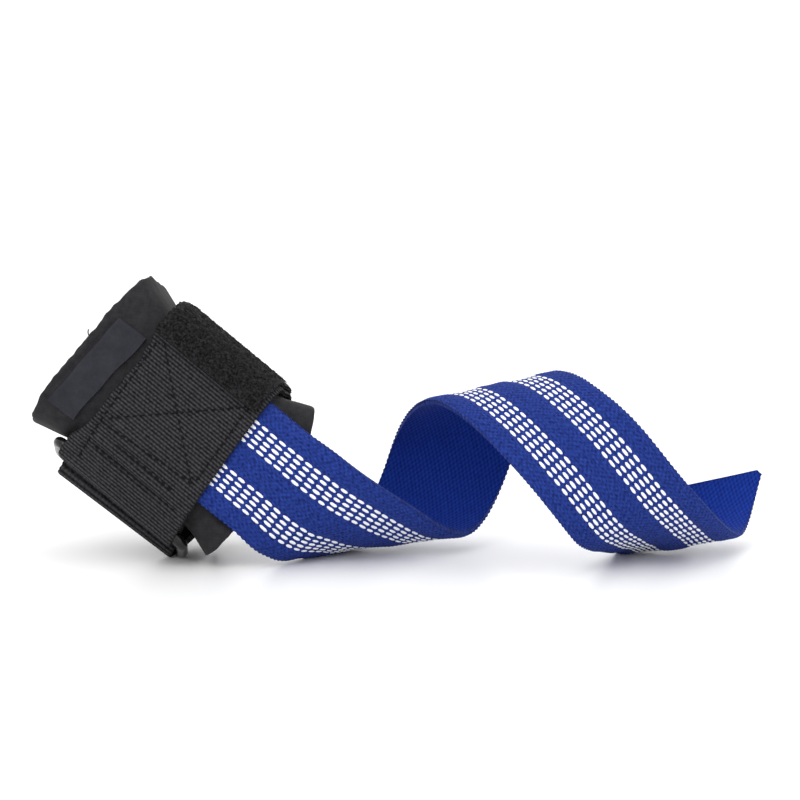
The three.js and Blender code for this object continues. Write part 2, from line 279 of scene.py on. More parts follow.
class MeshMaker:
    """Turns arrays of points in mm into Blender objects in metres."""

    @staticmethod
    def quads(at: Array) -> Array:
        """Four-cornered faces of a grid of vertex numbers."""
        return np.stack([at[:-1, :-1], at[1:, :-1], at[1:, 1:], at[:-1, 1:]], -1).reshape(-1, 4)

    @staticmethod
    def shell(name: str, front: Array, back: Array, cloth: Array, coarse: int) -> Object:
        """Closed sheet from a fine front grid and a coarser back grid.

        Args:
            name: the piece's name.
            front: points of the front, rows by columns by three.
            back: points of the back, at every coarse-th row and column.
            cloth: cloth coordinates of the front points in mm.
            coarse: how many front cells one back cell spans.

        Returns:
            The new object, with the back's faces in the second material slot.
        """
        rows, columns = front.shape[:2]
        back_rows, back_columns = back.shape[:2]
        front_at = np.arange(rows * columns).reshape(rows, columns)
        back_at = rows * columns + np.arange(back_rows * back_columns).reshape(back_rows, back_columns)
        faces: list[list[int]] = MeshMaker.quads(front_at).tolist()
        slots = [Face.FRONT.value] * len(faces)
        under = MeshMaker.quads(back_at)[:, ::-1].tolist()
        slots += [Face.BACK.value] * len(under)
        faces += under
        rims = [
            (front_at[:, 0][::-1], back_at[:, 0][::-1]),
            (front_at[:, -1], back_at[:, -1]),
            (front_at[0, :], back_at[0, :]),
            (front_at[-1, :][::-1], back_at[-1, :][::-1]),
        ]
        for fine, wide in rims:
            for cell in range(len(wide) - 1):
                edge = fine[cell * coarse:(cell + 1) * coarse + 1]
                faces.append([*edge[::-1].tolist(), int(wide[cell]), int(wide[cell + 1])])
                slots.append(Face.FRONT.value)
        points = np.concatenate([front.reshape(-1, 3), back.reshape(-1, 3)])
        flat = np.concatenate([cloth.reshape(-1, 2), cloth[::coarse, ::coarse].reshape(-1, 2)])
        return MeshMaker.solid(name, (points, faces, flat), slots)

    @staticmethod
    def solid(name: str, data: MeshData, slots: Sequence[int] = ()) -> Object:
        """Object from points, faces and cloth coordinates.

        Args:
            name: the piece's name.
            data: vertices in mm, vertex numbers of each face, and each vertex's cloth coordinates.
            slots: material slot of each face, or none for the first.

        Returns:
            The new smooth-shaded object, linked to the scene.
        """
        points, faces, cloth = data
        mesh = bpy.data.meshes.new(name)
        mesh.from_pydata((points * MM).tolist(), [], faces)
        layer = mesh.uv_layers.new(name=CLOTH_MAP)
        corners = np.zeros(len(mesh.loops), dtype=np.int64)
        mesh.loops.foreach_get("vertex_index", corners)
        layer.data.foreach_set("uv", cloth[corners].astype(np.float32).ravel())
        if len(slots):
            mesh.polygons.foreach_set("material_index", np.asarray(slots, dtype=np.int32))
        mesh.shade_smooth()
        mesh.update()
        MeshMaker.face_out(mesh)
        return link(name, mesh)

    @staticmethod
    def face_out(mesh: bpy.types.Mesh) -> None:
        """Turns a closed mesh's faces outwards where its signed volume is negative.

        Args:
            mesh: the mesh.
        """
        mesh.calc_loop_triangles()
        corners = np.zeros(len(mesh.loop_triangles) * 3, dtype=np.int64)
        mesh.loop_triangles.foreach_get("vertices", corners)
        places = np.zeros(len(mesh.vertices) * 3)
        mesh.vertices.foreach_get("co", places)
        a, b, c = (places.reshape(-1, 3)[corners.reshape(-1, 3)[:, k]] for k in range(3))
        if float(np.einsum("ij,ij->i", a, np.cross(b, c)).sum()) < 0.0:
            mesh.flip_normals()


@dataclass(frozen=True)
class Lenses:
    """Closed lens-shaped floats of yarn on a surface: their height, depth, grid and form."""

    rise: float
    sink: float
    rows: int = 7
    columns: int = 5
    # taper towards the ends, and how the crown rounds off aside and falls towards the ends
    end_power: float = 2.6
    end_least: float = 0.06
    side_power: float = 0.42
    crown_round: float = 0.9
    crown_fall: float = 0.75
    fall_power: int = 3

    def mesh(self, mapper: Mapper, centres: Array, ways: Array, half: Array) -> MeshData:
        """Mesh data of many lenses.

        Args:
            mapper: gives points from two surface coordinates and a height, all in mm.
            centres: middle of each lens on the surface.
            ways: unit direction of each lens on the surface.
            half: half length and half width of each lens.

        Returns:
            Vertices, faces and cloth coordinates.
        """
        long, wide = np.linspace(-1.0, 1.0, self.rows), np.linspace(-1.0, 1.0, self.columns)
        p, q = (grid.ravel() for grid in np.meshgrid(long, wide, indexing="ij"))
        taper = np.maximum(1.0 - np.abs(p) ** self.end_power, self.end_least) ** self.side_power
        crown = np.sqrt(np.maximum(1.0 - self.crown_round * q * q, 0.0))
        crown = crown * (1.0 - self.crown_fall * np.abs(p) ** self.fall_power)
        ahead = p[None] * half[:, :1]
        aside = (q * taper)[None] * half[:, 1:]
        first = centres[:, :1] + ahead * ways[:, :1] - aside * ways[:, 1:]
        second = centres[:, 1:] + ahead * ways[:, 1:] + aside * ways[:, :1]
        top = mapper(first, second, np.broadcast_to(self.rise * crown, first.shape))
        low = mapper(first, second, np.full(first.shape, -self.sink))
        step = self.rows * self.columns
        at = np.arange(step).reshape(self.rows, self.columns)
        cells = MeshMaker.quads(at)
        loop = np.concatenate([at[:, 0], at[-1, 1:], at[-2::-1, -1], at[0, -2:0:-1]])
        rim = np.stack([loop, loop + step, np.roll(loop, -1) + step, np.roll(loop, -1)], -1)
        one = np.concatenate([cells, cells[:, ::-1] + step, rim])
        starts = 2 * step * np.arange(len(centres))
        faces = (one[None] + starts[:, None, None]).reshape(-1, 4)
        points = np.concatenate([top, low], 1).reshape(-1, 3)
        cloth = np.concatenate([np.stack([first, second], -1)] * 2, 1).reshape(-1, 2)
        return points, faces.tolist(), cloth


class Tubes:
    """Thin round yarns and wires along lines of points."""

    # cloth length of a tube and cloth width of one of its sides, in mm
    YARN_CLOTH = (3.0, 0.1)
    WIRE_CLOTH = (100.0, 0.5)
    # keeps the plane of a straight line from vanishing
    TILT = 1e-6 * np.array([0.3, 0.5, 0.8])
    LEAST = 1e-9

    @staticmethod
    def rings(lines: Array, radius: float, sides: int, closed: bool) -> Array:
        """Rings of points round each line.

        Args:
            lines: lines by points by three, in mm.
            radius: radius in mm.
            sides: points in a ring.
            closed: whether each line closes on itself.

        Returns:
            Lines by points by sides by three.
        """
        if closed:
            way = np.roll(lines, -1, 1) - np.roll(lines, 1, 1)
        else:
            way = np.gradient(lines, axis=1)
        way = way / np.linalg.norm(way, axis=-1, keepdims=True)
        spread = lines - lines.mean(1, keepdims=True)
        plane = np.cross(spread[:, 0], spread[:, lines.shape[1] // 3]) + Tubes.TILT
        plane = plane / np.linalg.norm(plane, axis=-1, keepdims=True)
        first = np.cross(way, np.broadcast_to(plane[:, None], way.shape))
        first = first / np.maximum(np.linalg.norm(first, axis=-1, keepdims=True), Tubes.LEAST)
        second = np.cross(way, first)
        turn = np.arange(sides) * 2 * math.pi / sides
        return (
            lines[:, :, None]
            + radius * np.cos(turn)[:, None] * first[:, :, None]
            + radius * np.sin(turn)[:, None] * second[:, :, None]
        )

    @staticmethod
    def cloth(size: Pair, steps: int, sides: int) -> Array:
        """Cloth coordinates of one tube, ring by ring.

        Args:
            size: cloth length of the tube and cloth width of one side.
            steps: rings of the tube.
            sides: points in a ring.

        Returns:
            Points by two, in mm.
        """
        length, width = size
        places = np.linspace(0.0, length, steps), np.arange(sides) * width
        return np.stack(np.meshgrid(*places, indexing="ij"), -1).reshape(-1, 2)

    @staticmethod
    def open(lines: Array, radius: float, sides: int) -> MeshData:
        """Closed-ended tubes along open lines.

        Args:
            lines: lines by points by three, in mm.
            radius: radius in mm.
            sides: sides of a tube.

        Returns:
            Vertices, faces and cloth coordinates.
        """
        rings = Tubes.rings(lines, radius, sides, False)
        count, steps = lines.shape[:2]
        at = np.arange(steps * sides).reshape(steps, sides)
        after = np.roll(at, -1, 1)
        walls = np.stack([at[:-1], at[1:], after[1:], after[:-1]], -1).reshape(-1, 4)
        faces: list[list[int]] = []
        for line in range(count):
            base = line * steps * sides
            faces += (walls + base).tolist()
            faces.append((at[0][::-1] + base).tolist())
            faces.append((at[-1] + base).tolist())
        cloth = np.tile(Tubes.cloth(Tubes.YARN_CLOTH, steps, sides), (count, 1))
        return rings.reshape(-1, 3), faces, cloth

    @staticmethod
    def closed(line: Array, radius: float, sides: int) -> MeshData:
        """One tube along a closed line.

        Args:
            line: points by three, in mm.
            radius: radius in mm.
            sides: sides of the tube.

        Returns:
            Vertices, faces and cloth coordinates.
        """
        rings = Tubes.rings(line[None], radius, sides, True)[0]
        steps = len(line)
        at = np.arange(steps * sides).reshape(steps, sides)
        ahead, after = np.roll(at, -1, 0), np.roll(at, -1, 1)
        faces = np.stack([at, ahead, np.roll(ahead, -1, 1), after], -1).reshape(-1, 4).tolist()
        return rings.reshape(-1, 3), faces, Tubes.cloth(Tubes.WIRE_CLOTH, steps, sides)


class Nodes:
    """Short way to wire a material's nodes."""

    # flecks: how far they lean and are squeezed across the cloth, their scale and their detail
    FLECK_LEAN = 0.6
    FLECK_SQUEEZE = 0.5
    FLECK_SCALE = 1.3
    FLECK_DETAIL = 2.0

    def __init__(self, name: str) -> None:
        """Starts a material with a plain principled shader.

        Args:
            name: the material's name.
        """
        self.material = bpy.data.materials.new(name)
        self.material.use_nodes = True
        self.tree = self.material.node_tree
        self.shader = self.tree.nodes["Principled BSDF"]

    def add(self, kind: str, **values: object) -> bpy.types.Node:
        """New node with its properties set.

        Args:
            kind: the node's type.
            values: its properties.

        Returns:
            The node.
        """
        node = self.tree.nodes.new(kind)
        for key, value in values.items():
            setattr(node, key, value)
        return node

    def feed(self, socket: Socket, value: object) -> None:
        """Links an output to a socket, or sets a plain value on it.

        Args:
            socket: the input.
            value: an output or a plain value.
        """
        if isinstance(value, Socket):
            self.tree.links.new(value, socket)
        else:
            socket.default_value = value

    def shade(self, values: dict[str, object]) -> None:
        """Feeds inputs of the shader by their names."""
        for name, value in values.items():
            self.feed(self.shader.inputs[name], value)

    def maths(self, kind: str, *values: object) -> Socket:
        """Result of a math node.

        Args:
            kind: the operation.
            values: outputs or plain values.

        Returns:
            The node's output.
        """
        node = self.add("ShaderNodeMath", operation=kind)
        for socket, value in zip(node.inputs, values):
            self.feed(socket, value)
        return node.outputs[0]

    def cloth(self) -> tuple[Socket, Socket]:
        """Cloth coordinates in mm.

        Returns:
            Outputs along and across the cloth.
        """
        place = self.add("ShaderNodeUVMap", uv_map=CLOTH_MAP)
        split = self.add("ShaderNodeSeparateXYZ")
        self.feed(split.inputs[0], place.outputs[0])
        return split.outputs[0], split.outputs[1]

    def noise_at(self, place: Socket, scale: float, detail: float) -> Socket:
        """Noise at a place.

        Args:
            place: output with the place.
            scale: the noise's scale.
            detail: the noise's detail.

        Returns:
            An output from 0 to 1.
        """
        node = self.add("ShaderNodeTexNoise")
        for name, value in {"Vector": place, "Scale": scale, "Detail": detail}.items():
            self.feed(node.inputs[name], value)
        return node.outputs["Fac"]

    def noise(self, size: float, detail: float) -> Socket:
        """Noise of a typical size in mm, from 0 to 1, fixed to the object."""
        place = self.add("ShaderNodeTexCoord").outputs["Object"]
        return self.noise_at(place, 1.0 / (size * MM), detail)

    def flecks(self, pitch: Pair) -> Socket:
        """Noise drawn out along the yarns of a cloth.

        Args:
            pitch: pitch of the yarns along and across the cloth, in mm.

        Returns:
            An output from 0 to 1.
        """
        along, across = self.cloth()
        place = self.add("ShaderNodeCombineXYZ")
        straight = self.maths("DIVIDE", along, pitch[0])
        leaning = self.maths("MULTIPLY_ADD", across, self.FLECK_LEAN / pitch[1], straight)
        self.feed(place.inputs[0], leaning)
        self.feed(place.inputs[1], self.maths("DIVIDE", across, self.FLECK_SQUEEZE * pitch[1]))
        return self.noise_at(place.outputs[0], self.FLECK_SCALE, self.FLECK_DETAIL)

    def wave(self, place: Socket, pitch: float, start: float = 0.0) -> Socket:
        """Sine of a cloth coordinate with a pitch in mm, from a start angle."""
        turned = self.maths("MULTIPLY_ADD", place, TURN / pitch, start)
        return self.maths("SINE", turned)

    def between(self, share: Socket, low: float, high: float) -> Socket:
        """Value from low to high by a share."""
        return self.maths("MULTIPLY_ADD", share, high - low, low)

    def ramp(self, share: Socket, stops: Sequence[tuple[float, Sequence[float]]]) -> Socket:
        """Colour through a few stops.

        Args:
            share: where between the stops.
            stops: place and colour of each stop.

        Returns:
            The colour's output.
        """
        node = self.add("ShaderNodeValToRGB")
        elements = node.color_ramp.elements
        while len(elements) < len(stops):
            elements.new(0.5)
        for element, (place, colour) in zip(elements, stops):
            element.position = place
            element.color = (*colour, 1.0)
        self.feed(node.inputs[0], share)
        return node.outputs[0]

    def relief(self, height: Socket, depth: float, strength: float) -> None:
        """Bump on the shader.

        Args:
            height: output with the height.
            depth: depth in mm.
            strength: share of the bump that shows.
        """
        node = self.add("ShaderNodeBump")
        for name, value in {"Strength": strength, "Distance": depth * MM, "Height": height}.items():
            self.feed(node.inputs[name], value)
        self.shade({"Normal": node.outputs[0]})


@dataclass(frozen=True)
class ClothFinish:
    """Finish of a woven, knitted or napped cloth."""

    name: str
    dark: Triple
    light: Triple
    grain: Grain
    pitch: Pair
    # depth and strength of the relief
    depth: float = 0.08
    strength: float = 0.7
    # mottling: size, share of the colour, swing and detail
    mottle: float = 1.2
    mottle_share: float = 0.5
    mottle_swing: float = 2.2
    mottle_detail: float = 4.0
    # fine noise: size as a share of the mottling's, detail and share of the relief
    fine_size: float = 0.25
    fine_detail: float = 2.0
    fine_relief: float = 1.4
    # how strongly ribs, flecks and felt show
    rib_share: float = 0.9
    rib_yarns: float = 0.3
    fleck_swing: float = 3.2
    fleck_check: float = 0.3
    felt_swing: float = 2.0
    felt_detail: float = 5.0
    roughness: Pair = (0.75, 0.95)
    sheen: float = 0.04
    sheen_roughness: float = 0.45
    specular: float = 0.08
    # swing of the colour that follows the yarn relief (painted shade in the hollows, painted light on
    # the raised yarns), the middle colour between dark and light, and where each is reached
    contrast: float = 1.0
    middle: float = 0.5
    stops: Triple = (0.12, 0.5, 0.88)

    def _pattern(self, nodes: Nodes) -> Socket:
        """Pattern of the yarns, which sets the relief and also the painted shade in the colour.

        Args:
            nodes: the material's nodes.

        Returns:
            An output from about -1 to 1.
        """
        along, across = nodes.cloth()
        first, second = self.pitch
        if self.grain is Grain.CHECK:
            return nodes.maths("MULTIPLY", nodes.wave(along, first), nodes.wave(across, second))
        if self.grain is Grain.RIB:
            yarns = nodes.maths("MULTIPLY", nodes.wave(across, second), nodes.wave(along, 2 * first))
            # the rib term puts painted shade in the grooves and painted light on the crowns of the
            # colour
            ribs = nodes.maths("MULTIPLY", nodes.wave(along, first, -QUARTER), self.rib_share)
            return nodes.maths("MULTIPLY_ADD", yarns, self.rib_yarns, ribs)
        if self.grain is Grain.FLECK:
            # the check waves line up with the geometry's yarn crossings, so their hollows are painted
            # shade; the flecks are random tone
            waves = nodes.wave(along, first, QUARTER), nodes.wave(across, second, QUARTER)
            check = nodes.maths("MULTIPLY", *waves)
            level = nodes.maths("MULTIPLY_ADD", check, self.fleck_check, -self.fleck_swing / 2)
            return nodes.maths("MULTIPLY_ADD", nodes.flecks(self.pitch), self.fleck_swing, level)
        felt = nodes.noise(first, self.felt_detail)
        return nodes.between(felt, -self.felt_swing / 2, self.felt_swing / 2)

    def material(self) -> bpy.types.Material:
        """The finish as a material with yarn-scale colour, roughness and relief; the colour follows the
        relief, so its hollows carry painted shade.

        Returns:
            The new material.
        """
        nodes = Nodes(self.name)
        pattern = self._pattern(nodes)
        speck = nodes.noise(self.mottle, self.mottle_detail)
        fine = nodes.noise(self.mottle * self.fine_size, self.fine_detail)
        # the colour swings with the same yarn pattern as the bump: painted shade in the hollows and
        # painted light on the raised yarns; the speck mottling added to it is random tone
        swing = 0.5 * self.contrast * (1.0 - self.mottle_share)
        level = nodes.maths("MULTIPLY_ADD", pattern, swing, 0.5)
        mottle = self.mottle_swing * self.mottle_share
        uneven = nodes.maths("MULTIPLY_ADD", speck, mottle, -mottle / 2)
        share = nodes.maths("ADD", level, uneven)
        middle = tuple(a + (b - a) * self.middle for a, b in zip(self.dark, self.light))
        nodes.shade({
            "Base Color": nodes.ramp(share, list(zip(self.stops, (self.dark, middle, self.light)))),
            "Roughness": nodes.between(fine, *self.roughness),
            "Sheen Weight": self.sheen,
            "Sheen Roughness": self.sheen_roughness,
            "Specular IOR Level": self.specular,
        })
        rough = nodes.maths("MULTIPLY_ADD", fine, self.fine_relief, -self.fine_relief / 2)
        nodes.relief(nodes.maths("ADD", pattern, rough), self.depth, self.strength)
        return nodes.material


@dataclass(frozen=True)
class ThreadFinish:
    """Finish of loose yarn: stitches, dashes and pile."""

    name: str
    colour: Triple
    shade: Triple
    sheen: float = 0.0
    specular: float = 0.04
    # twist of the yarn: pitch, share of the colour (painted shade in the grooves between plies), depth
    # and strength
    ply: float = 0.45
    ply_share: float = 0.2
    ply_depth: float = 0.05
    ply_strength: float = 0.5
    # size and detail of the specks, and where shade and colour are reached
    speck: Pair = (0.8, 3.0)
    stops: Pair = (0.2, 0.7)
    roughness: Pair = (0.65, 0.9)

    def material(self) -> bpy.types.Material:
        """The finish as a material with a plied-yarn relief whose grooves also carry painted shade.

        Returns:
            The new material.
        """
        nodes = Nodes(self.name)
        twist = nodes.wave(nodes.maths("ADD", *nodes.cloth()), self.ply)
        speck = nodes.noise(*self.speck)
        # the twist darkens the colour in the ply grooves: painted shade; the specks are random tone
        share = nodes.maths("MULTIPLY_ADD", twist, self.ply_share, speck)
        nodes.shade({
            "Base Color": nodes.ramp(share, list(zip(self.stops, (self.shade, self.colour)))),
            "Roughness": nodes.between(speck, *self.roughness),
            "Sheen Weight": self.sheen,
            "Specular IOR Level": self.specular,
        })
        nodes.relief(twist, self.ply_depth, self.ply_strength)
        return nodes.material


@dataclass(frozen=True)
class CoatedWireFinish:
    """Finish of the ring: glossy black coating with faint wear."""

    name: str = "black_coated_wire"
    colour: Triple = (0.004, 0.004, 0.004)
    worn: Triple = (0.018, 0.018, 0.018)
    # size and detail of the scuffs and of the fine noise, and where colour and wear are reached
    scuff: Pair = (3.0, 6.0)
    fine: Pair = (0.5, 2.0)
    stops: Pair = (0.55, 0.8)
    roughness: Pair = (0.12, 0.37)
    specular: float = 0.3
    coat: float = 0.15
    coat_roughness: float = 0.12
    depth: float = 0.02
    strength: float = 0.25

    def material(self) -> bpy.types.Material:
        """The finish as a material with scuffs.

        Returns:
            The new material.
        """
        nodes = Nodes(self.name)
        scuff = nodes.noise(*self.scuff)
        nodes.shade({
            "Base Color": nodes.ramp(scuff, list(zip(self.stops, (self.colour, self.worn)))),
            "Roughness": nodes.between(scuff, *self.roughness),
            "Specular IOR Level": self.specular,
            "Coat Weight": self.coat,
            "Coat Roughness": self.coat_roughness,
        })
        nodes.relief(nodes.noise(*self.fine), self.depth, self.strength)
        return nodes.material


@dataclass(frozen=True)
class FloorFinish:
    """Finish of the floor: pale and faintly glossy."""

    name: str = "pale_floor"
    colour: Triple = (0.93, 0.93, 0.93)
    roughness: float = 0.3
    specular: float = 0.25

    def material(self) -> bpy.types.Material:
        """The finish as a plain material.

        Returns:
            The new material.
        """
        nodes = Nodes(self.name)
        nodes.shade({
            "Base Color": (*self.colour, 1.0),
            "Roughness": self.roughness,
            "Specular IOR Level": self.specular,
        })
        return nodes.material


# blue webbing: random flecks, with a little painted shade in the hollows between the yarn crossings
STRAP_FRONT = ClothFinish(
    "blue_webbing", (0.0055, 0.0125, 0.095), (0.0225, 0.053, 0.295), Grain.FLECK, (1.85, 1.8),
    depth=0.13, strength=0.8, mottle=1.1, mottle_share=0.3, contrast=1.2,
)
STRAP_BACK = ClothFinish(
    "blue_webbing_reverse", (0.0035, 0.0145, 0.155), (0.009, 0.039, 0.285), Grain.CHECK, (2.6, 1.5),
    depth=0.18, strength=0.65, mottle=1.4, mottle_share=0.3,
)
WHITE_YARN = ThreadFinish("white_yarn", (0.93, 0.93, 0.94), (0.84, 0.85, 0.89), sheen=0.3, specular=0.3)
# black ribbed webbing: the wide swing from dark to light follows the ribs, so the grooves carry painted
# shade and the rib crowns painted light, over the yarn's own black
BAND_CLOTH = ClothFinish(
    "black_ribbed_webbing", (0.0015, 0.0015, 0.0017), (0.053, 0.052, 0.058), Grain.RIB, (1.17, 1.45),
    depth=0.10, strength=0.7, mottle=0.9, mottle_share=0.4, middle=0.41,
)
PAD_CLOTH = ClothFinish(
    "black_knit_foam", (0.0122, 0.0122, 0.0134), (0.0312, 0.0308, 0.0335), Grain.CHECK, (0.62, 0.7),
    depth=0.03, strength=0.4, mottle=2.2, mottle_share=0.5, roughness=(0.6, 0.85),
)
PATCH_CLOTH = ClothFinish(
    "slate_satin", (0.0115, 0.0122, 0.0175), (0.0275, 0.0282, 0.0370), Grain.FELT, (1.2, 1.2),
    depth=0.02, strength=0.3, mottle=5.0, mottle_share=0.4, roughness=(0.45, 0.6), specular=0.15,
)
LOOP_CLOTH = ClothFinish(
    "black_loop_ground", (0.0005, 0.0005, 0.0005), (0.026, 0.026, 0.028), Grain.FELT, (0.8, 0.8),
    depth=0.2, strength=1.0, mottle=1.0, mottle_share=0.35, contrast=3.2, middle=0.36,
)
HOOK_CLOTH = ClothFinish(
    "black_hook_ground", (0.004, 0.004, 0.004), (0.020, 0.020, 0.021), Grain.CHECK, (1.6, 1.6),
    depth=0.15, strength=0.8, mottle=1.5, mottle_share=0.3, roughness=(0.45, 0.7),
)
BLACK_THREAD = ThreadFinish("black_thread", (0.014, 0.014, 0.015), (0.004, 0.004, 0.004))
GREY_THREAD = ThreadFinish("grey_thread", (0.024, 0.024, 0.025), (0.008, 0.008, 0.008))
BLACK_PILE = ThreadFinish("black_pile", (0.046, 0.045, 0.048), (0.001, 0.001, 0.001))
RING_COAT = CoatedWireFinish()
FLOOR_COAT = FloorFinish()


def dress(piece: Object, slot: str, *materials: bpy.types.Material) -> Object:
    """Gives a piece its materials and its body.

    Args:
        piece: the object.
        slot: not used.
        materials: materials in slot order.

    Returns:
        The same object.
    """
    for material in materials:
        piece.data.materials.append(material)
    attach(piece, BODY)
    LOG.info("%s: %d faces", piece.name, len(piece.data.polygons))
    return piece


@dataclass
class PullStrap:
    """Woven pull strap with two bands of white floats, lying in one open coil."""

    width: float = STRAP_WIDTH
    thick: float = 2.0
    # lengths under the band and from the band to the tip
    sewn: float = 44.0
    length: float = 313.0
    # how much shorter the near edge is, and how much the tip's corner is cut off
    end_slant: float = 22.0
    tip_cut: float = 2.0
    # run over which the strap leaves the cuff's round face
    flatten: float = 36.0
    edge: float = 1.2
    edge_thick: float = 0.8
    step: float = 1.0
    # half the stretch of the cuff's face under the strap, and the points taken on it
    face_half: float = 34.0
    face_points: int = 681
    # step of the look-up grid, and how far it goes past the strap's end and edges
    grid_step: float = 0.5
    grid_past: Pair = (2.0, 1.0)
    # share of a cell by which a place stays off the grid's last point
    grid_stop: float = 0.001
    weave_pitch: Pair = STRAP_FRONT.pitch
    weave_height: float = 0.19
    # share of the weave's height that is left between the dashes
    weave_least: float = 0.4
    weave_drift: Swell = Swell(0.7, 12, 14.0)
    uneven: Swell = Swell(0.12, 11, 9.0)
    # how far the front lies in under its relief, and where that relief sets in beside the band
    front_sink: float = 0.12
    woven_from: Pair = (-9.0, -3.0)
    # plain stripes: height, half width of the middle one, middle and half width of the outer ones
    crown: float = 0.45
    stripe_half: float = 4.4
    side_stripe: Pair = (16.8, 3.5)
    selvedge: float = 2.0
    selvedge_bump: float = 0.17
    row_length: float = 0.47
    columns: int = 86
    coarse: int = 2
    # at (mm from the cuff), roll (degrees per mm about the fold line), slant (degrees of the fold line)
    folds: tuple[Triple, ...] = (
        (0, 0.9, 19), (20, 1.4, 19), (40, 1.45, 46), (60, 1.55, 48), (80, 2.4, 27),
        (105, 2.15, 27), (130, 2.2, 38), (155, 1.85, 27), (180, 1.25, 27), (205, 1.55, 15),
        (230, 1.9, 26), (255, 1.2, 35), (280, 2.65, 25), (315, 2.6, 25),
    )
    # rises and sags of the coil: start and end of each, and its height at the near and far edges
    rises: tuple[tuple[float, float, float, float], ...] = (
        (9.0, 24.0, -2.0, 0.8), (30.0, 44.0, 2.0, 0.0), (52.0, 76.0, 0.0, -2.0),
        (186.0, 212.0, 0.0, 1.2), (224.0, 250.0, 3.0, 1.2), (257.0, 273.0, -4.0, -0.3),
        (273.0, 291.0, 2.1, 0.2),
    )
    dash_pitch: float = 3.69
    dash_half: Pair = (1.4, 0.5)
    dash_form: Lenses = Lenses(0.24, 0.15)
    # middle of each band of dashes across the strap, and where its first dash lies
    dash_bands: tuple[Pair, ...] = ((8.7, 2.1), (-9.0, 3.1))
    dash_rows: int = 5
    dash_row_gap: float = 1.8
    # dashes of a row that lie under the band
    dashes_hidden: int = 4
    dash_end_gap: float = 2.5
    dash_jitter: float = 0.06
    dash_spread: Pair = (0.93, 1.07)
    dash_seed: int = 5

    def __post_init__(self) -> None:
        """Bends the flat strip along its fold lines."""
        self._walk()
        self._grid()

    def _eased(self, column: int, at: float) -> float:
        """Value of a column of the fold table, eased from row to row.

        Args:
            column: which column.
            at: mm from the cuff.

        Returns:
            The value there.
        """
        rows = self.folds
        if at <= rows[0][0]:
            return rows[0][column]
        for before, after in zip(rows, rows[1:]):
            if at < after[0]:
                return blend(before[column], after[column], float(fade(at, before[0], after[0])))
        return rows[-1][column]

    def _walk(self) -> None:
        """Carries a frame along the strap's middle line and keeps it at each step."""
        along, up, face = CUFF.basis()
        place = np.asarray(CUFF.origin) - along * self.sewn
        steps = []
        here = -self.sewn
        while here <= self.length + self.width:
            slant = math.tan(math.radians(self._eased(2, here)))
            roll = 0.0 if here < 0 else math.radians(self._eased(1, here)) * self.step
            line = up + along * slant
            steps.append((here, slant, place, line, face))
            place = place + along * (self.step / 2)
            turn = line / np.linalg.norm(line)
            along, up, face = (self._turned(v, turn, roll) for v in (along, up, face))
            place = place + along * (self.step / 2)
            here += self.step
        table = (np.array(column) for column in zip(*steps))
        self._at, self._slant, self._place, self._line, self._face = table

    @staticmethod
    def _turned(vector: Array, turn: Array, angle: float) -> Array:
        """A vector turned about a unit axis by an angle in radians."""
        cos, sin = math.cos(angle), math.sin(angle)
        return vector * cos + np.cross(turn, vector) * sin + turn * float(turn @ vector) * (1 - cos)

    def _face_drop(self, across: float) -> float:
        """How far the cuff's face falls behind the strap's flat plane.

        Args:
            across: place across the strap.

        Returns:
            The drop in mm.
        """
        ups, outs = OVAL.point(np.linspace(-self.face_half, self.face_half, self.face_points))
        apex_out = OVAL.point(np.array(0.0))[1]
        return float(apex_out - np.interp(across, np.maximum.accumulate(ups), outs))

    def _grid(self) -> None:
        half = self.width / 2 + self.grid_past[1]
        self._lengths = np.arange(-self.sewn, self.length + self.grid_past[0], self.grid_step)
        self._acrosses = np.arange(-half, half + self.grid_step / 2, self.grid_step)
        mids, faces = [], []
        for across in self._acrosses:
            reached = self._at + across * self._slant
            edge = self._place + self._line * across
            mid = np.stack([np.interp(self._lengths, reached, edge[:, k]) for k in range(3)], -1)
            face = np.stack([np.interp(self._lengths, reached, self._face[:, k]) for k in range(3)], -1)
            drop = self._face_drop(across) * (1.0 - fade(self._lengths, 0.0, self.flatten))
            mids.append(mid - face * drop[:, None])
            faces.append(face)
        self._mids, self._faces = np.stack(mids, 1), np.stack(faces, 1)

    def place(self, length: Array, across: Array, lift: Array) -> Array:
        """Points of the strap in the object's frame.

        Args:
            length: mm from the cuff.
            across: mm from the middle line.
            lift: mm off the middle layer, towards the front.

        Returns:
            Points in mm, on or above the floor.
        """
        last = 1.0 + self.grid_stop
        row = np.clip((length + self.sewn) / self.grid_step, 0, len(self._lengths) - last)
        column = np.clip((across - self._acrosses[0]) / self.grid_step, 0, len(self._acrosses) - last)
        r, c = row.astype(int), column.astype(int)
        dr, dc = (row - r)[..., None], (column - c)[..., None]

        def look(table: Array) -> Array:
            """Values of a table between its four nearest points."""
            near = blend(table[r, c], table[r, c + 1], dc)
            return blend(near, blend(table[r + 1, c], table[r + 1, c + 1], dc), dr)

        points = look(self._mids) + look(self._faces) * np.asarray(lift)[..., None]
        for start, stop, near, far in self.rises:
            points[..., 2] += fade(length, start, stop) * blend(near, far, across / self.width + 0.5)
        return on_floor(points) + np.asarray(CUFF.shift)

    def plain(self, across: Array) -> Array:
        """Share of the plain stripes between and beside the bands of dashes.

        Args:
            across: mm from the middle line.

        Returns:
            Values from 0 to 1.
        """
        at, half = self.side_stripe
        middle = np.clip(1.0 - (across / self.stripe_half) ** 2, 0.0, 1.0)
        sides = np.clip(1.0 - ((np.abs(across) - at) / half) ** 2, 0.0, 1.0)
        return np.sqrt(np.maximum(middle, sides))

    def ground(self, length: Array, across: Array) -> Array:
        """Height of the front without its weave, in mm: plain stripes stand up between the dashes."""
        free = fade(length, *self.woven_from)
        return free * (self.crown * self.plain(across) + self.uneven.at(length, across))

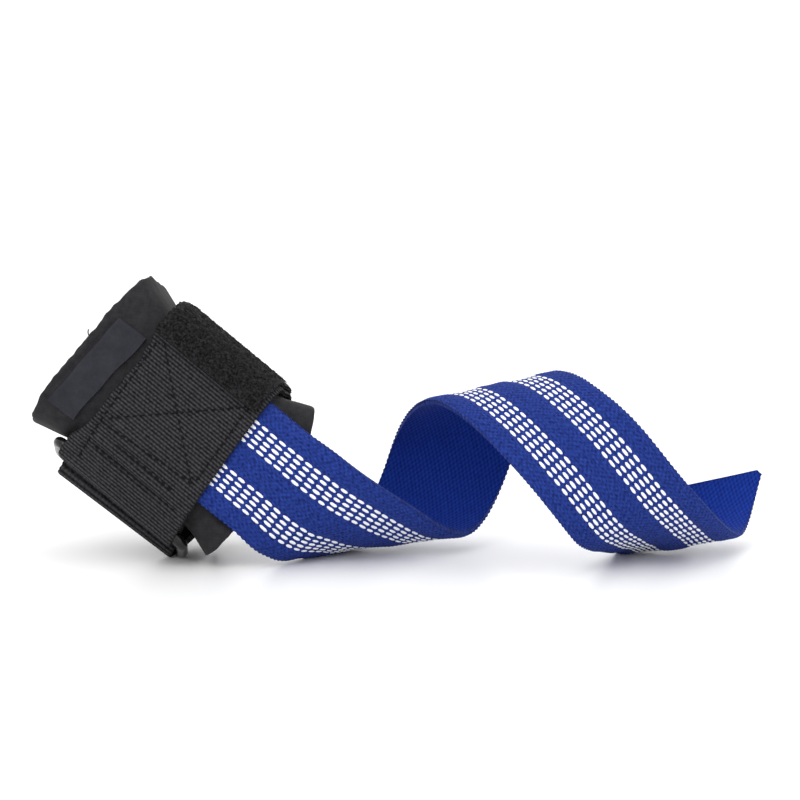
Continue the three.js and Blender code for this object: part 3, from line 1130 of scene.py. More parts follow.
    def weave(self, length: Array, across: Array) -> Array:
        """Height of the yarns' crossings over the ground.

        Args:
            length: mm from the cuff.
            across: mm from the middle line.

        Returns:
            Heights in mm.
        """
        first, second = self.weave_pitch
        drift = self.weave_drift.at(length, across)
        grain = np.cos(TURN * length / first + drift) * np.cos(TURN * across / second)
        share = blend(self.weave_least, 1.0, self.plain(across))
        return fade(length, *self.woven_from) * self.weave_height * grain * share

    def build(self) -> list[Object]:
        """Makes the webbing and its white dashes.

        Returns:
            The new pieces.
        """
        half = self.width / 2
        rows = int((self.length + self.sewn) / self.row_length) // self.coarse * self.coarse
        share, aside = np.meshgrid(
            np.linspace(0.0, 1.0, rows + 1), np.linspace(-half, half, self.columns + 1), indexing="ij"
        )
        inner = half - self.selvedge
        cut = self.end_slant * (half - aside) / self.width + self.tip_cut * fade(aside, inner, half)
        length = blend(-self.sewn, self.length - cut, share)
        edge = blend(self.edge_thick, 1.0, fade(half - np.abs(aside), 0.0, self.edge))
        bump = self.selvedge_bump * np.cos(TURN * length / self.weave_pitch[0])
        across = aside + np.sign(aside) * bump * fade(np.abs(aside), inner, half)
        thick = edge * self.thick / 2
        relief = self.ground(length, aside) + self.weave(length, aside)
        front = self.place(length, across, thick - self.front_sink + relief * edge)
        some = (slice(None, None, self.coarse), slice(None, None, self.coarse))
        back = self.place(length[some], across[some], -thick[some])
        cloth = np.stack([length, aside], -1)
        webbing = MeshMaker.shell("strap_webbing", front, back, cloth, self.coarse)
        dress(webbing, "strap_webbing", STRAP_FRONT.material(), STRAP_BACK.material())
        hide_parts("lifting_strap")
        dashes = self._dashes()
        return [webbing, dashes]

    def _dashes(self) -> Object:
        """White floats of yarn in two bands of rows.

        Returns:
            The new piece.
        """
        rng = np.random.default_rng(self.dash_seed)
        centres = []
        for middle, first in self.dash_bands:
            start = first - self.dashes_hidden * self.dash_pitch
            for row in range(self.dash_rows):
                across = middle + (row - (self.dash_rows - 1) / 2) * self.dash_row_gap
                cut = self.end_slant * (self.width / 2 - across) / self.width
                lengths = np.arange(start, self.length - cut - self.dash_end_gap, self.dash_pitch)
                centres.append(np.stack([lengths, np.full_like(lengths, across)], -1))
        centre = np.concatenate(centres)
        centre += rng.normal(0.0, self.dash_jitter, centre.shape)
        half = np.asarray(self.dash_half) * rng.uniform(*self.dash_spread, centre.shape)
        ways = np.tile([1.0, 0.0], (len(centre), 1))
        base = self.thick / 2 - self.front_sink

        def mapper(length: Array, across: Array, lift: Array) -> Array:
            """Points at a height over the ground."""
            return self.place(length, across, base + self.ground(length, across) + lift)

        dashes = MeshMaker.solid("strap_dashes", self.dash_form.mesh(mapper, centre, ways, half))
        return dress(dashes, "strap_webbing", WHITE_YARN.material())


@dataclass
class WristPad:
    """Foam pad round the wrist, butt-jointed at the lower back, with a plain patch on its face."""

    thick: float = 4.5
    # ends along the axis, how far they bulge in front, and the left one's slant
    left: float = -64.9
    right: float = 5.2
    left_bulge: float = 2.2
    left_slant: float = 0.08
    right_bulge: float = 4.4
    bulge_power: float = 0.6
    # flare of the mouths at their upper and lower sides
    left_flare: Pair = (4.0, 4.7)
    right_flare: Pair = (4.4, 2.8)
    back_flare: float = 1.5
    flare_most: float = 1.2
    # share of the lower left flare that is reached right beside the band
    lower_start: float = 0.42
    lower_run: float = 2.0
    # where the strap lies on the pad, how far past its edges that ends, and how far it presses in
    strap_half: float = STRAP_WIDTH / 2
    strap_past: Pair = (-0.4, 2.8)
    strap_press: float = 2.0
    edge_thick: float = 0.5
    edge_round: float = 1.2
    # rough cut of the mouths, and its share on the right one
    ragged: tuple[Swell, ...] = (Swell(0.3, 8, 7.0), Swell(0.16, 18, 2.8))
    ragged_right: float = 0.6
    # unevenness of the outer face, which sets in over this run past the band
    uneven: Swell = Swell(0.28, 3, 16.0)
    uneven_run: float = 5.0
    # creased corners of the left mouth: place round the oval and how far they stand out
    corners: tuple[Pair, ...] = ((-35.0, 1.1), (33.5, 1.1))
    corner_wide: float = 3.4
    corner_pinch: float = 0.7
    # tab at the right end: place round the oval, half width and reach
    tab_at: float = 22.0
    tab_wide: float = 7.5
    tab_out: float = 5.2
    # butt joint: place round the oval and gap
    joint_at: float = -62.0
    joint_gap: float = 3.0
    band_left: float = BAND_SIDES[0]
    band_right: float = BAND_SIDES[1]
    # the patch: its lower and upper end round the oval, and its left and right side along the axis
    patch: tuple[float, float, float, float] = (-22.0, 14.2, -63.4, -52.2)
    patch_slant: float = 0.12
    patch_off: float = 0.5
    patch_thick: float = 0.8
    patch_points: tuple[int, int] = (61, 25)
    patch_wavy: Swell = Swell(0.4, 9, 13.0)
    # rounding of the patch's edge, what is left of the height there, and how far patch and back lie in
    patch_round: float = 0.8
    patch_least: float = 0.04
    patch_sink: float = 0.15
    patch_back: float = 0.05
    # crease beside the patch: its distance, width and depth, and the run of its ends
    crease: Triple = (0.7, 1.0, 0.6)
    crease_end: float = 2.0
    # stray thread: its root up and out, its gap off the pad, and its reach along, up and out
    thread_root: Pair = (-1.0, -2.6)
    thread_gap: float = 0.1
    thread_reach: Triple = (1.1, 1.4, 0.6)
    thread_radius: float = 0.22
    thread_points: int = 9
    thread_sides: int = 5
    rows: int = 240
    columns: int = 64

    def flare(self, length: Array, along: Array) -> Array:
        """How far the pad's outer face stands off the oval.

        Args:
            length: places round the oval.
            along: places along the axis.

        Returns:
            Heights in mm.
        """
        up, out = OVAL.normal(length)
        place_up = OVAL.point(length)[0]
        right = along > self.band_right
        past = np.where(right, along - self.band_right, self.band_left - along)
        edges = (self.strap_half + past_edge for past_edge in self.strap_past)
        covered = 1.0 - fade(np.abs(place_up), *edges)
        under = np.where(right & (out > 0), covered, 0.0)
        upper, lower = (np.where(right, *pair) for pair in zip(self.right_flare, self.left_flare))
        sides = np.where(up > 0, upper, lower) * up ** 2
        behind = self.back_flare * np.maximum(0.0, -out)
        spread = blend(sides + behind, -self.strap_press, under)
        reach = np.where(right, self.right - self.band_right, self.band_left - self.left)
        start = np.where(right | (up > 0), 0.0, self.lower_start) * fade(past, 0.0, self.lower_run)
        share = blend(np.clip(past / reach, 0.0, self.flare_most), 1.0, start)
        spread = spread + np.where(right, 0.0, self.corner_pinch * self.corner(length))
        return blend(spread * share, spread * fade(past, 0.0, self.right - self.band_right), under)

    def corner(self, length: Array) -> Array:
        """How far the creased corners of the left mouth stand out at places round the oval, in mm."""
        return sum(out * np.exp(-np.abs(length - at) / self.corner_wide) for at, out in self.corners)

    def ends(self, length: Array) -> tuple[Array, Array]:
        """Where the pad ends along the axis.

        Args:
            length: places round the oval.

        Returns:
            The left and the right end.
        """
        facing = OVAL.normal(length)[1]
        bulge = np.sign(facing) * np.abs(facing) ** self.bulge_power
        slant = self.left_slant * OVAL.point(length)[0]
        tab = self.tab_out * np.exp(-(((length - self.tab_at) / self.tab_wide) ** 2))
        left = self.left + slant - self.left_bulge * bulge - self.corner(length)
        return left, self.right + self.right_bulge * bulge + tab

    def outer(self, length: Array, along: Array) -> Array:
        """Soft unevenness of the pad's outer face past the band, with the crease beside the patch.

        Args:
            length: places round the oval.
            along: places along the axis.

        Returns:
            Heights in mm.
        """
        past = np.maximum(along - self.band_right, self.band_left - along)
        loose = fade(past, 0.0, self.uneven_run)
        low, high, left, _ = self.patch
        distance, wide, deep = self.crease
        beyond = along - self.patch_slant * length - left
        crease = np.exp(-((beyond + distance) / wide) ** 2)
        end = self.crease_end
        beside = fade(length, low - end, low + end) * (1 - fade(length, high - end, high + end))
        return loose * self.uneven.at(length, along) - deep * crease * beside

    def build(self) -> list[Object]:
        """Makes the pad, its patch and a stray thread.

        Returns:
            The new pieces.
        """
        start = self.joint_at + self.joint_gap / 2
        stop = self.joint_at + OVAL.total - self.joint_gap / 2
        length, share = np.meshgrid(
            np.linspace(start, stop, self.rows + 1), np.linspace(0.0, 1.0, self.columns + 1),
            indexing="ij",
        )
        left, right = self.ends(length)
        ragged = sum(swell.at(length, 0.0) for swell in self.ragged)
        left, right = left + ragged, right + self.ragged_right * ragged
        along = blend(left, right, 0.5 + 0.5 * np.sin((share - 0.5) * math.pi))
        to_edge = np.minimum(along - left, right - along)
        inside = np.clip(to_edge / self.edge_round, 0.0, 1.0)
        round_off = np.sqrt(1.0 - (1.0 - inside) ** 2)
        half = self.thick / 2 * blend(self.edge_thick, 1.0, round_off)
        middle = self.flare(length, along) - self.thick / 2
        outer = CUFF.world(along, *OVAL.offset(length, middle + half + self.outer(length, along)))
        inner = CUFF.world(along, *OVAL.offset(length, middle - half))
        pad = MeshMaker.shell("pad_sleeve", outer, inner, np.stack([length, along], -1), 1)
        cloth = PAD_CLOTH.material()
        dress(pad, "pad_foam", cloth, cloth)
        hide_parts("wrist_pad")
        return [pad, self._patch(), self._thread()]

    def _patch(self) -> Object:
        """Plain smooth patch on the pad's face.

        Returns:
            The new piece.
        """
        low, high, left, right = self.patch
        rows, columns = self.patch_points
        rise, aside = np.meshgrid(
            np.linspace(low, high, rows), np.linspace(left, right, columns), indexing="ij"
        )
        to_edge = np.minimum.reduce([rise - low, high - rise, aside - left])
        wavy = self.patch_wavy.at(rise, aside)
        length, along = rise + wavy * fade(rise, low, high), aside + self.patch_slant * rise + wavy
        inside = np.minimum(1.0, to_edge / self.patch_round)
        soft = self.patch_thick * np.sqrt(np.clip(1.0 - (1.0 - inside) ** 2, self.patch_least, 1.0))
        base = self.flare(length, along) + self.patch_off - self.patch_sink
        outer = CUFF.world(along, *OVAL.offset(length, base + soft))
        inner = CUFF.world(along, *OVAL.offset(length, base - self.patch_back))
        patch = MeshMaker.shell("pad_patch_sheet", outer, inner, np.stack([length, along], -1), 1)
        cloth = PATCH_CLOTH.material()
        dress(patch, "patch", cloth, cloth)
        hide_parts("pad_patch")
        return patch

    def _thread(self) -> Object:
        """Stray thread end that stands off the pad's left edge.

        Returns:
            The new piece.
        """
        up, out = self.thread_root
        ahead, rise, lean = self.thread_reach
        share = np.linspace(0.0, 1.0, self.thread_points)
        along = self.left - self.left_bulge - self.thread_gap - ahead * share
        line = CUFF.world(along, up + rise * share ** 2, out + lean * share)
        data = Tubes.open(line[None], self.thread_radius, self.thread_sides)
        return dress(MeshMaker.solid("pad_thread_end", data), "pad_foam", BLACK_THREAD.material())


@dataclass
class TapeLine:
    """Evenly stepped middle line of a tape in the cuff's section: points up and out, in mm."""

    points: Array
    step: float = field(init=False)
    length: float = field(init=False)
    marks: Array = field(init=False)
    normals: Array = field(init=False)

    def __post_init__(self) -> None:
        """Works out the line's step, length, marks and unit normals."""
        self.step = float(np.hypot(*(self.points[1] - self.points[0])))
        self.marks = np.arange(len(self.points))
        self.length = (len(self.points) - 1) * self.step
        way = np.gradient(self.points, axis=0)
        way /= np.linalg.norm(way, axis=1, keepdims=True)
        self.normals = np.stack([-way[:, 1], way[:, 0]], -1)

    @classmethod
    def eased(cls, line: Array, step: float, soft: float = 1.6, least: float = 1e-6) -> "TapeLine":
        """Line with even steps, its kinks eased over a short length.

        Args:
            line: points up and out.
            step: about how far its points lie apart.
            soft: half the length over which a kink is eased.
            least: points nearer together than this count once.

        Returns:
            The new line.
        """
        length = np.concatenate([[0.0], np.cumsum(np.hypot(*np.diff(line, axis=0).T))])
        keep = np.concatenate([[True], np.diff(length) > least])
        at = np.linspace(0.0, length[-1], int(length[-1] / step) + 1)
        even = np.stack([np.interp(at, length[keep], line[keep, k]) for k in (0, 1)], -1)
        width = max(1, int(soft / step))
        padded = np.concatenate([
            2 * even[0] - even[width:0:-1], even, 2 * even[-1] - even[-2:-width - 2:-1],
        ])
        window = np.hanning(2 * width + 1)
        window /= window.sum()
        return cls(np.stack([np.convolve(padded[:, k], window, "valid") for k in (0, 1)], -1))

    def over(
        self, at: Array, marks: Array, base: float, part: slice = slice(None)
    ) -> tuple[Array, Array]:
        """Places at a height off the line, and the ways out of it there.

        Args:
            at: where, told by marks.
            marks: rising mark of each point.
            base: height off the line in mm.
            part: which points of the line have marks.

        Returns:
            Places and unit normals with a last axis of two.
        """
        line, normal = self.points[part], self.normals[part]
        place = [np.interp(at, marks, line[:, k] + normal[:, k] * base) for k in (0, 1)]
        way = [np.interp(at, marks, normal[:, k]) for k in (0, 1)]
        return np.stack(place, -1), np.stack(way, -1)


@dataclass(frozen=True)
class LoopPile:
    """Small yarn loops that stand on the loop tape: how many, how big and how uneven."""

    count: int = 5200
    # places drawn for each loop that is kept
    tries: int = 2
    seed: int = 41
    # bare margins at the tape's two ends and along its edges
    ends: Pair = (2.6, 1.2)
    inset: float = 2.8
    clump: Swell = Swell(1.0, 33, 2.6)
    clump_rise: float = 0.12
    # how far chance scatters the clumps
    stray: float = 1.2
    half_wide: Pair = (0.25, 0.55)
    high: Pair = (0.25, 0.55)
    lean: Pair = (-0.25, 0.25)
    sink: float = 0.15
    points: int = 5
    radius: float = 0.09
    yarn_sides: int = 3

    def lines(self, end: float, sides: Pair) -> tuple[Array, Array, Array]:
        """Lines of the loops on a flat tape.

        Args:
            end: length of the tape.
            sides: where its two edges lie.

        Returns:
            Places along the tape, between its edges and off its face, loops by points.
        """
        rng = np.random.default_rng(self.seed)
        tries = self.tries * self.count
        run = rng.uniform(self.ends[0], end - self.ends[1], tries)
        along = rng.uniform(sides[0] + self.inset, sides[1] - self.inset, tries)
        clump = self.clump.at(run, along)
        kept = np.sort(np.argsort(-clump - rng.uniform(0.0, self.stray, tries))[:self.count])
        run, along, clump = run[kept, None], along[kept, None], clump[kept, None]
        one = (self.count, 1)
        turn = rng.uniform(0.0, TURN, one)
        wide = rng.uniform(*self.half_wide, one)
        high = rng.uniform(*self.high, one) + self.clump_rise * clump
        bend = np.linspace(0.0, math.pi, self.points)[None]
        reach = -np.cos(bend) * wide
        lean = np.sin(bend) * rng.uniform(*self.lean, one)
        at_run = run + reach * np.sin(turn) + lean * np.cos(turn)
        at_along = along + reach * np.cos(turn) - lean * np.sin(turn)
        return at_run, at_along, np.sin(bend) * high - self.sink


@dataclass
class WristBand:
    """Ribbed band round the pad, through the ring and back, with its tapes and stitching."""

    left: float = BAND_SIDES[0]
    right: float = BAND_SIDES[1]
    thick: float = 1.6
    # height of the band's underside off the oval, on the pad and on the strap, and gap between layers
    off_pad: float = 0.5
    over_strap: float = 2.9
    gap: float = 0.3
    # the ring: wire, places of its two bars up and out, and the form of its loop
    wire: float = 3.8
    near_bar: Pair = (-34.7, -7.8)
    far_bar: Pair = (-39.1, -24.5)
    ring_end_gap: float = 0.9
    ring_bend: float = 3.4
    bend_points: int = 13
    ring_steps: int = 220
    ring_sides: int = 24
    # directions in degrees between which the band lies round the bars
    near_turn: Pair = (318.0, 115.0)
    far_turn: Pair = (30.0, 180.0)
    turn_points: int = 40
    # places round the oval where the layers run, rise and end
    loop_run: Pair = (17.0, 104.0)
    hook_run: Pair = (76.0, 102.0)
    flap: Pair = (-17.8, -24.0)
    front_leaves: float = -19.0
    strap_top: float = 25.0
    over_top: float = 38.0
    lower_back: float = 112.0
    far_at: float = 127.0
    return_end: float = 72.0
    # ribs and edges of the band
    rib: float = BAND_CLOTH.pitch[0]
    rib_height: float = 0.15
    rib_power: float = 2.2
    rib_steps: int = 4
    columns: int = 48
    # share by which the columns crowd towards the edges
    crowd: float = 0.45
    # share of the width, off the middle, where a selvedge starts
    selvedge: float = 0.485
    selvedge_bump: float = 0.24
    edge_thick: float = 0.6
    ragged: Swell = Swell(0.35, 23, 5.0)
    ragged_power: int = 6
    uneven: Swell = Swell(0.1, 21, 14.0)
    # sag of the lower fold at its left edge, and where that sets in below and behind the face
    slack: float = 2.4
    sag_below: Pair = (39.0, 42.5)
    sag_behind: Pair = (12.0, 16.0)
    # how far the left edges of band and loop tape are drawn in on the front, and where that sets in
    band_draw: float = 4.2
    tape_draw: float = 2.3
    draw_up: Pair = (-34.0, -18.0)
    draw_out: Pair = (-24.0, -8.0)
    # further bow of that edge: its share, its place up the face and its half width
    draw_bow: Triple = (0.31, 2.0, 8.0)
    # hollows across the front: place up the face, half width and depth
    valleys: tuple[Triple, ...] = ((-22.6, 1.4, 0.6), (-27.4, 1.3, 0.55))
    # how far off the band's edges the hollows set in
    valley_from: Pair = (4.0, 14.0)
    # hollows and drawn-in seams are only on the face further out than this
    face_out: float = -4.0
    # stitch lines on the front: along and up at both ends
    seams: tuple[tuple[float, float, float, float], ...] = (
        (-45.0, -17.8, -9.8, 14.0), (-44.5, 13.2, -10.4, -16.0), (-46.6, -19.8, -9.4, -16.4),
        (-46.4, 12.0, -46.4, -34.0), (-9.0, 14.5, -9.0, -16.0), (-44.0, -27.4, -9.4, -27.0),
        (-37.8, -22.6, -13.0, -22.2),
    )
    seam_wide: float = 0.9
    seam_deep: float = 0.35
    stitch_pitch: float = 2.7
    stitch_half: Pair = (0.8, 0.28)
    stitch_spread: Pair = (0.9, 1.1)
    stitch_seed: int = 17
    band_stitch: Lenses = Lenses(0.14, 0.3)
    tape_stitch: Lenses = Lenses(0.16, 0.3)
    # the tapes: their distance from the band's edges, and step, softness and columns of each
    tape_inset: float = 1.5
    loop_thick: float = 2.0
    loop_grid: tuple[float, float, int] = (0.8, 2.0, 56)
    hook_thick: float = 1.5
    hook_grid: tuple[float, float, int] = (0.55, 1.0, 90)
    hook_pitch: float = HOOK_CLOTH.pitch[0]
    hook_depth: float = 0.12
    # the loop tape's flat border: its depth, and where the pile sets in at its sides and its end
    border_deep: float = 0.45
    border_side: Pair = (2.6, 4.0)
    border_end: Pair = (1.8, 3.2)
    # stitch rows on that border: distance from the sides and from the ends
    side_row: Pair = (1.5, 1.0)
    end_row: Pair = (2.0, 1.3)
    pile_rough: tuple[Swell, ...] = (Swell(0.12, 31, 2.2), Swell(0.14, 32, 4.5))
    pile: LoopPile = LoopPile()

    def __post_init__(self) -> None:
        """Works out the heights of the layers and the band's line."""
        half = self.thick / 2
        self.off_band = self.off_pad + half
        self.off_front = self.over_strap + half
        self.off_loop_back = self.off_band + half + self.gap + self.loop_thick / 2
        self.off_loop_front = self.off_front + half + self.gap + self.loop_thick / 2
        self.off_hook = self.off_loop_back + self.loop_thick / 2 + self.gap + self.hook_thick / 2
        self.off_return = self.off_hook + self.hook_thick / 2 + self.gap + half
        self.tape_sides = (self.left + self.tape_inset, self.right - self.tape_inset)
        self.line = TapeLine.eased(self._band_line(), self.rib / self.rib_steps)

    @staticmethod
    def _run(places: Sequence[Pair], step: float = 0.5) -> Array:
        """Points of a layer that follows the oval, its height eased through a few places.

        Args:
            places: places round the oval, each with a height off it.
            step: about how far the points lie apart.

        Returns:
            Points up and out.
        """
        first, last = places[0][0], places[-1][0]
        at = np.linspace(first, last, int(abs(last - first) / step) + 2)
        off = np.zeros_like(at)
        for (a, low), (b, high) in zip(places, places[1:]):
            inside = (at >= min(a, b)) & (at <= max(a, b))
            off[inside] = blend(low, high, fade(at[inside], a, b))
        return np.stack(OVAL.offset(at, off), -1)

    def _wrap(self, bar: Pair, turn: Pair) -> Array:
        """Points of the band round one bar of the ring.

        Args:
            bar: the bar's place up and out.
            turn: directions in degrees between which the band lies.

        Returns:
            Points up and out.
        """
        radius = self.wire / 2 + self.gap + self.thick / 2
        angle = np.radians(np.linspace(*turn, self.turn_points))
        return np.asarray(bar) + radius * np.stack([np.cos(angle), np.sin(angle)], -1)

    def _band_line(self) -> Array:
        """The band's middle line in the cuff's section, from its sewn end to its free end.

        Returns:
            Points up and out.
        """
        reach = self.wire / 2 + self.gap + self.thick / 2
        far_up = float(OVAL.point(np.array(self.far_at))[0]) - self.far_bar[0]
        flap = self._run([(at, self.off_band) for at in self.flap])
        out = self._run([
            (self.front_leaves, self.off_front), (self.strap_top, self.off_front),
            (self.over_top, self.off_band), (self.lower_back, self.off_band),
            (self.far_at, far_up - reach),
        ])
        back = self._run([
            (self.far_at, far_up + reach), (self.lower_back, self.off_return),
            (self.return_end, self.off_return),
        ])
        near, far = self._wrap(self.near_bar, self.near_turn), self._wrap(self.far_bar, self.far_turn)
        return np.concatenate([flap, near, out, far, back])

    def _layer(
        self, name: str, line: TapeLine, sides: Pair, thick: float, height: Relief, columns: int,
        slack: float = 0.0, draw: float = 0.0,
    ) -> Object:
        """Shell of one layer of tape.

        Args:
            name: the piece's name.
            line: middle line in the cuff's section.
            sides: where the tape's two edges lie along the axis.
            thick: thickness in mm.
            height: gives the relief of the front and of the back from places along and across the tape.
            columns: cells across the tape.
            slack: how far the lower fold sags at the left edge, in mm.
            draw: how far the left edge is drawn in on the front, in mm.

        Returns:
            The new piece.
        """
        crowded = 0.5 - 0.5 * np.cos(np.linspace(0.0, math.pi, columns + 1))
        share = (1.0 - self.crowd) * np.linspace(0.0, 1.0, columns + 1) + self.crowd * crowded
        run, aside = np.meshgrid(line.marks * line.step, share, indexing="ij")
        selvedge = fade(np.abs(aside - 0.5), self.selvedge, 0.5)
        bump = self.selvedge_bump * np.cos(TURN * run / self.rib) * selvedge * np.sign(aside - 0.5)
        ragged = self.ragged.at(run, 0.0) * (1.0 - aside) ** self.ragged_power
        straight = blend(sides[0], sides[1], aside) + bump
        along = self._drawn(straight, line.points[:, None], sides, draw) + ragged
        front_up, back_up = height(run, along)
        edge = blend(1.0, self.edge_thick, selvedge)
        faces = []
        for lift in (edge * (thick / 2 + front_up), -edge * (thick / 2 + back_up)):
            section = line.points[:, None] + line.normals[:, None] * lift[..., None]
            sag = fade(-section[..., 0], *self.sag_below) * fade(-section[..., 1], *self.sag_behind)
            section[..., 0] -= slack * sag * (sides[1] - along) / (sides[1] - sides[0])
            faces.append(CUFF.section(along, section))
        return MeshMaker.shell(name, faces[0], faces[1], np.stack([run, along], -1), 1)

    def _drawn(self, along: Array, section: Array, sides: Pair, draw: float) -> Array:
        """Places along the axis of a tape whose left edge is drawn in on the front.

        Args:
            along: places on the straight tape.
            section: places up and out, with a last axis of two.
            sides: where the straight tape's edges lie along the axis.
            draw: how far the left edge is drawn in, in mm.

        Returns:
            The moved places.
        """
        up, out = section[..., 0], section[..., 1]
        share, middle, wide = self.draw_bow
        pull = fade(up, *self.draw_up) + share * np.exp(-(((up - middle) / wide) ** 2))
        moved = draw * pull * fade(out, *self.draw_out)
        return along + moved * (sides[1] - along) / (sides[1] - sides[0])

    @staticmethod
    def _seam(ends: Sequence[float]) -> tuple[Array, Array, float]:
        """A straight stitch line.

        Args:
            ends: both coordinates of its two ends.

        Returns:
            Its start, its unit direction and its length.
        """
        start, stop = np.array(ends[:2]), np.array(ends[2:])
        size = float(np.hypot(*(stop - start)))
        return start, (stop - start) / size, size

    def _ribs(self, run: Array, along: Array) -> tuple[Array, Array]:
        """Relief of the band's ribs on both faces, drawn in along the seams.

        Args:
            run: places along the band.
            along: places along the cuff's axis.

        Returns:
            Heights of the front and of the back, in mm.
        """
        part = np.mod(run / self.rib, 1.0)
        rib = self.rib_height * (1.0 - np.abs(2.0 * part - 1.0) ** self.rib_power) - self.rib_height / 2
        index = np.clip(np.round(run / (self.rib / self.rib_steps)).astype(int), 0, self.line.marks[-1])
        up, out = self.line.points[index, 0], self.line.points[index, 1]
        drawn = np.zeros_like(run)
        for ends in self.seams:
            start, way, size = self._seam(ends)
            ahead = np.clip((along - start[0]) * way[0] + (up - start[1]) * way[1], 0.0, size)
            off = np.hypot(along - start[0] - ahead * way[0], up - start[1] - ahead * way[1])
            drawn = np.maximum(drawn, np.exp(-((off / self.seam_wide) ** 2)))
        inside = fade(np.minimum(along - self.left, self.right - along), *self.valley_from)
        hollow = sum(deep * np.exp(-(((up - at) / wide) ** 2)) for at, wide, deep in self.valleys)
        sunk = (self.seam_deep * drawn + hollow * inside) * (out > self.face_out)
        return rib - sunk + self.uneven.at(run, along), rib

    def _front(self, along: Array, up: Array, lift: Array) -> Array:
        """Points over the band's front face.

        Args:
            along: places along the axis.
            up: places up the face.
            lift: heights over the face.

        Returns:
            Points in mm.
        """
        heights = self.line.points[:, 0]
        top = int(np.argmax(heights))
        part = slice(int(np.argmin(heights[:top])), top)
        rising = np.maximum.accumulate(heights[part])
        section, way = self.line.over(up, rising, self.thick / 2, part)
        return CUFF.section(along, section + way * lift[..., None])

    def _stitches(
        self, name: str, seams: Sequence[Sequence[float]], mapper: Mapper, form: Lenses
    ) -> Object:
        """Rows of stitches along straight seams on a face.

        Args:
            name: the piece's name.
            seams: both coordinates of each seam's two ends.
            mapper: gives points from two coordinates on the face and a height.
            form: form of one stitch.

        Returns:
            The new piece.
        """
        rng = np.random.default_rng(self.stitch_seed)
        centres, ways = [], []
        for ends in seams:
            start, way, size = self._seam(ends)
            places = np.arange(self.stitch_pitch / 2, size, self.stitch_pitch)
            centres.append(start + places[:, None] * way)
            ways.append(np.tile(way, (len(places), 1)))
        centre = np.concatenate(centres)
        half = np.asarray(self.stitch_half) * rng.uniform(*self.stitch_spread, centre.shape)
        return MeshMaker.solid(name, form.mesh(mapper, centre, np.concatenate(ways), half))

    def build(self) -> list[Object]:
        """Makes the band, its stitches, both tapes, the pile and the ring.

        Returns:
            The new pieces.
        """
        sides = (self.left, self.right)
        band = self._layer(
            "band_webbing", self.line, sides, self.thick, self._ribs, self.columns, self.slack,
            self.band_draw,
        )
        cloth = BAND_CLOTH.material()
        dress(band, "band_webbing", cloth, cloth)
        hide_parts("wrist_band")
        seams = self._stitches("band_stitches", self.seams, self._front, self.band_stitch)
        dress(seams, "band_webbing", BLACK_THREAD.material())
        return [band, seams, *self._loop_tape(), self._hook_tape(), self._ring()]

    def _loop_tape(self) -> list[Object]:
        """Loop tape over the band's top and back, with its pile and edge stitches.

        Returns:
            The new pieces.
        """
        step, soft, columns = self.loop_grid
        line = TapeLine.eased(self._run([
            (self.loop_run[0], self.off_loop_front), (self.strap_top, self.off_loop_front),
            (self.over_top, self.off_loop_back), (self.loop_run[1], self.off_loop_back),
        ]), step, soft)
        left, right = sides = self.tape_sides

        def pile(run: Array, along: Array) -> tuple[Array, Array]:
            """Heights of the piled front with its flat border, and of the flat back.

            Args:
                run: places along the tape.
                along: places along the cuff's axis.

            Returns:
                Heights of the front and of the back, in mm.
            """
            inside = fade(np.minimum(along - left, right - along), *self.border_side)
            inside = inside * fade(run, *self.border_end)
            rough = sum(swell.at(run, along) for swell in self.pile_rough)
            return -self.border_deep * (1 - inside) + rough * inside, np.zeros_like(run)

        tape = self._layer(
            "loop_tape_ground", line, sides, self.loop_thick, pile, columns, draw=self.tape_draw
        )
        cloth = LOOP_CLOTH.material()
        dress(tape, "loop_pile", cloth, cloth)
        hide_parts("loop_tape")
        fuzz = self._fuzz(line)

        def over(along: Array, run: Array, lift: Array) -> Array:
            """Points over the tape's flat border.

            Args:
                along: places along the cuff's axis.
                run: places along the tape.
                lift: heights over the border.

            Returns:
                Points in mm.
            """
            section, way = line.over(run / line.step, line.marks, self.loop_thick / 2 - self.border_deep)
            along = self._drawn(along, section, sides, self.tape_draw)
            return CUFF.section(along, section + way * lift[..., None])

        aside, end = self.side_row
        rows = [(at, end, at, line.length - end) for at in (left + aside, right - aside)]
        aside, end = self.end_row
        rows += [(left + aside, at, right - aside, at) for at in (end, line.length - end)]
        stitches = self._stitches("tape_stitches", rows, over, self.tape_stitch)
        dress(stitches, "loop_pile", GREY_THREAD.material())
        return [tape, fuzz, stitches]

    def _fuzz(self, line: TapeLine) -> Object:
        """Pile of small yarn loops standing on the loop tape.

        Args:
            line: the tape's middle line.

        Returns:
            The new piece.
        """
        run, along, lift = self.pile.lines(line.length, self.tape_sides)
        section, way = line.over(run / line.step, line.marks, 0.0)
        along = self._drawn(along, section, self.tape_sides, self.tape_draw)
        lines = CUFF.section(along, section + way * (lift + self.loop_thick / 2)[..., None])
        data = Tubes.open(lines, self.pile.radius, self.pile.yarn_sides)
        return dress(MeshMaker.solid("loop_tape_pile", data), "loop_pile", BLACK_PILE.material())

    def _hook_tape(self) -> Object:
        """Hook tape between the loop tape and the band's free end.

        Returns:
            The new piece.
        """
        step, soft, columns = self.hook_grid
        line = TapeLine.eased(self._run([(at, self.off_hook) for at in self.hook_run]), step, soft)
        sides = self.tape_sides

        def nubs(run: Array, along: Array) -> tuple[Array, Array]:
            """Heights of the flat front and of the hooked back.

            Args:
                run: places along the tape.
                along: places along the cuff's axis.

            Returns:
                Heights of the front and of the back, in mm.
            """
            turn = TURN / self.hook_pitch
            nub = self.hook_depth * np.cos(turn * run) * np.cos(turn * along) - self.hook_depth
            return np.zeros_like(run), nub

        tape = self._layer("hook_tape_strip", line, sides, self.hook_thick, nubs, columns)
        cloth = HOOK_CLOTH.material()
        dress(tape, "hook_plastic", cloth, cloth)
        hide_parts("hook_tape")
        return tape

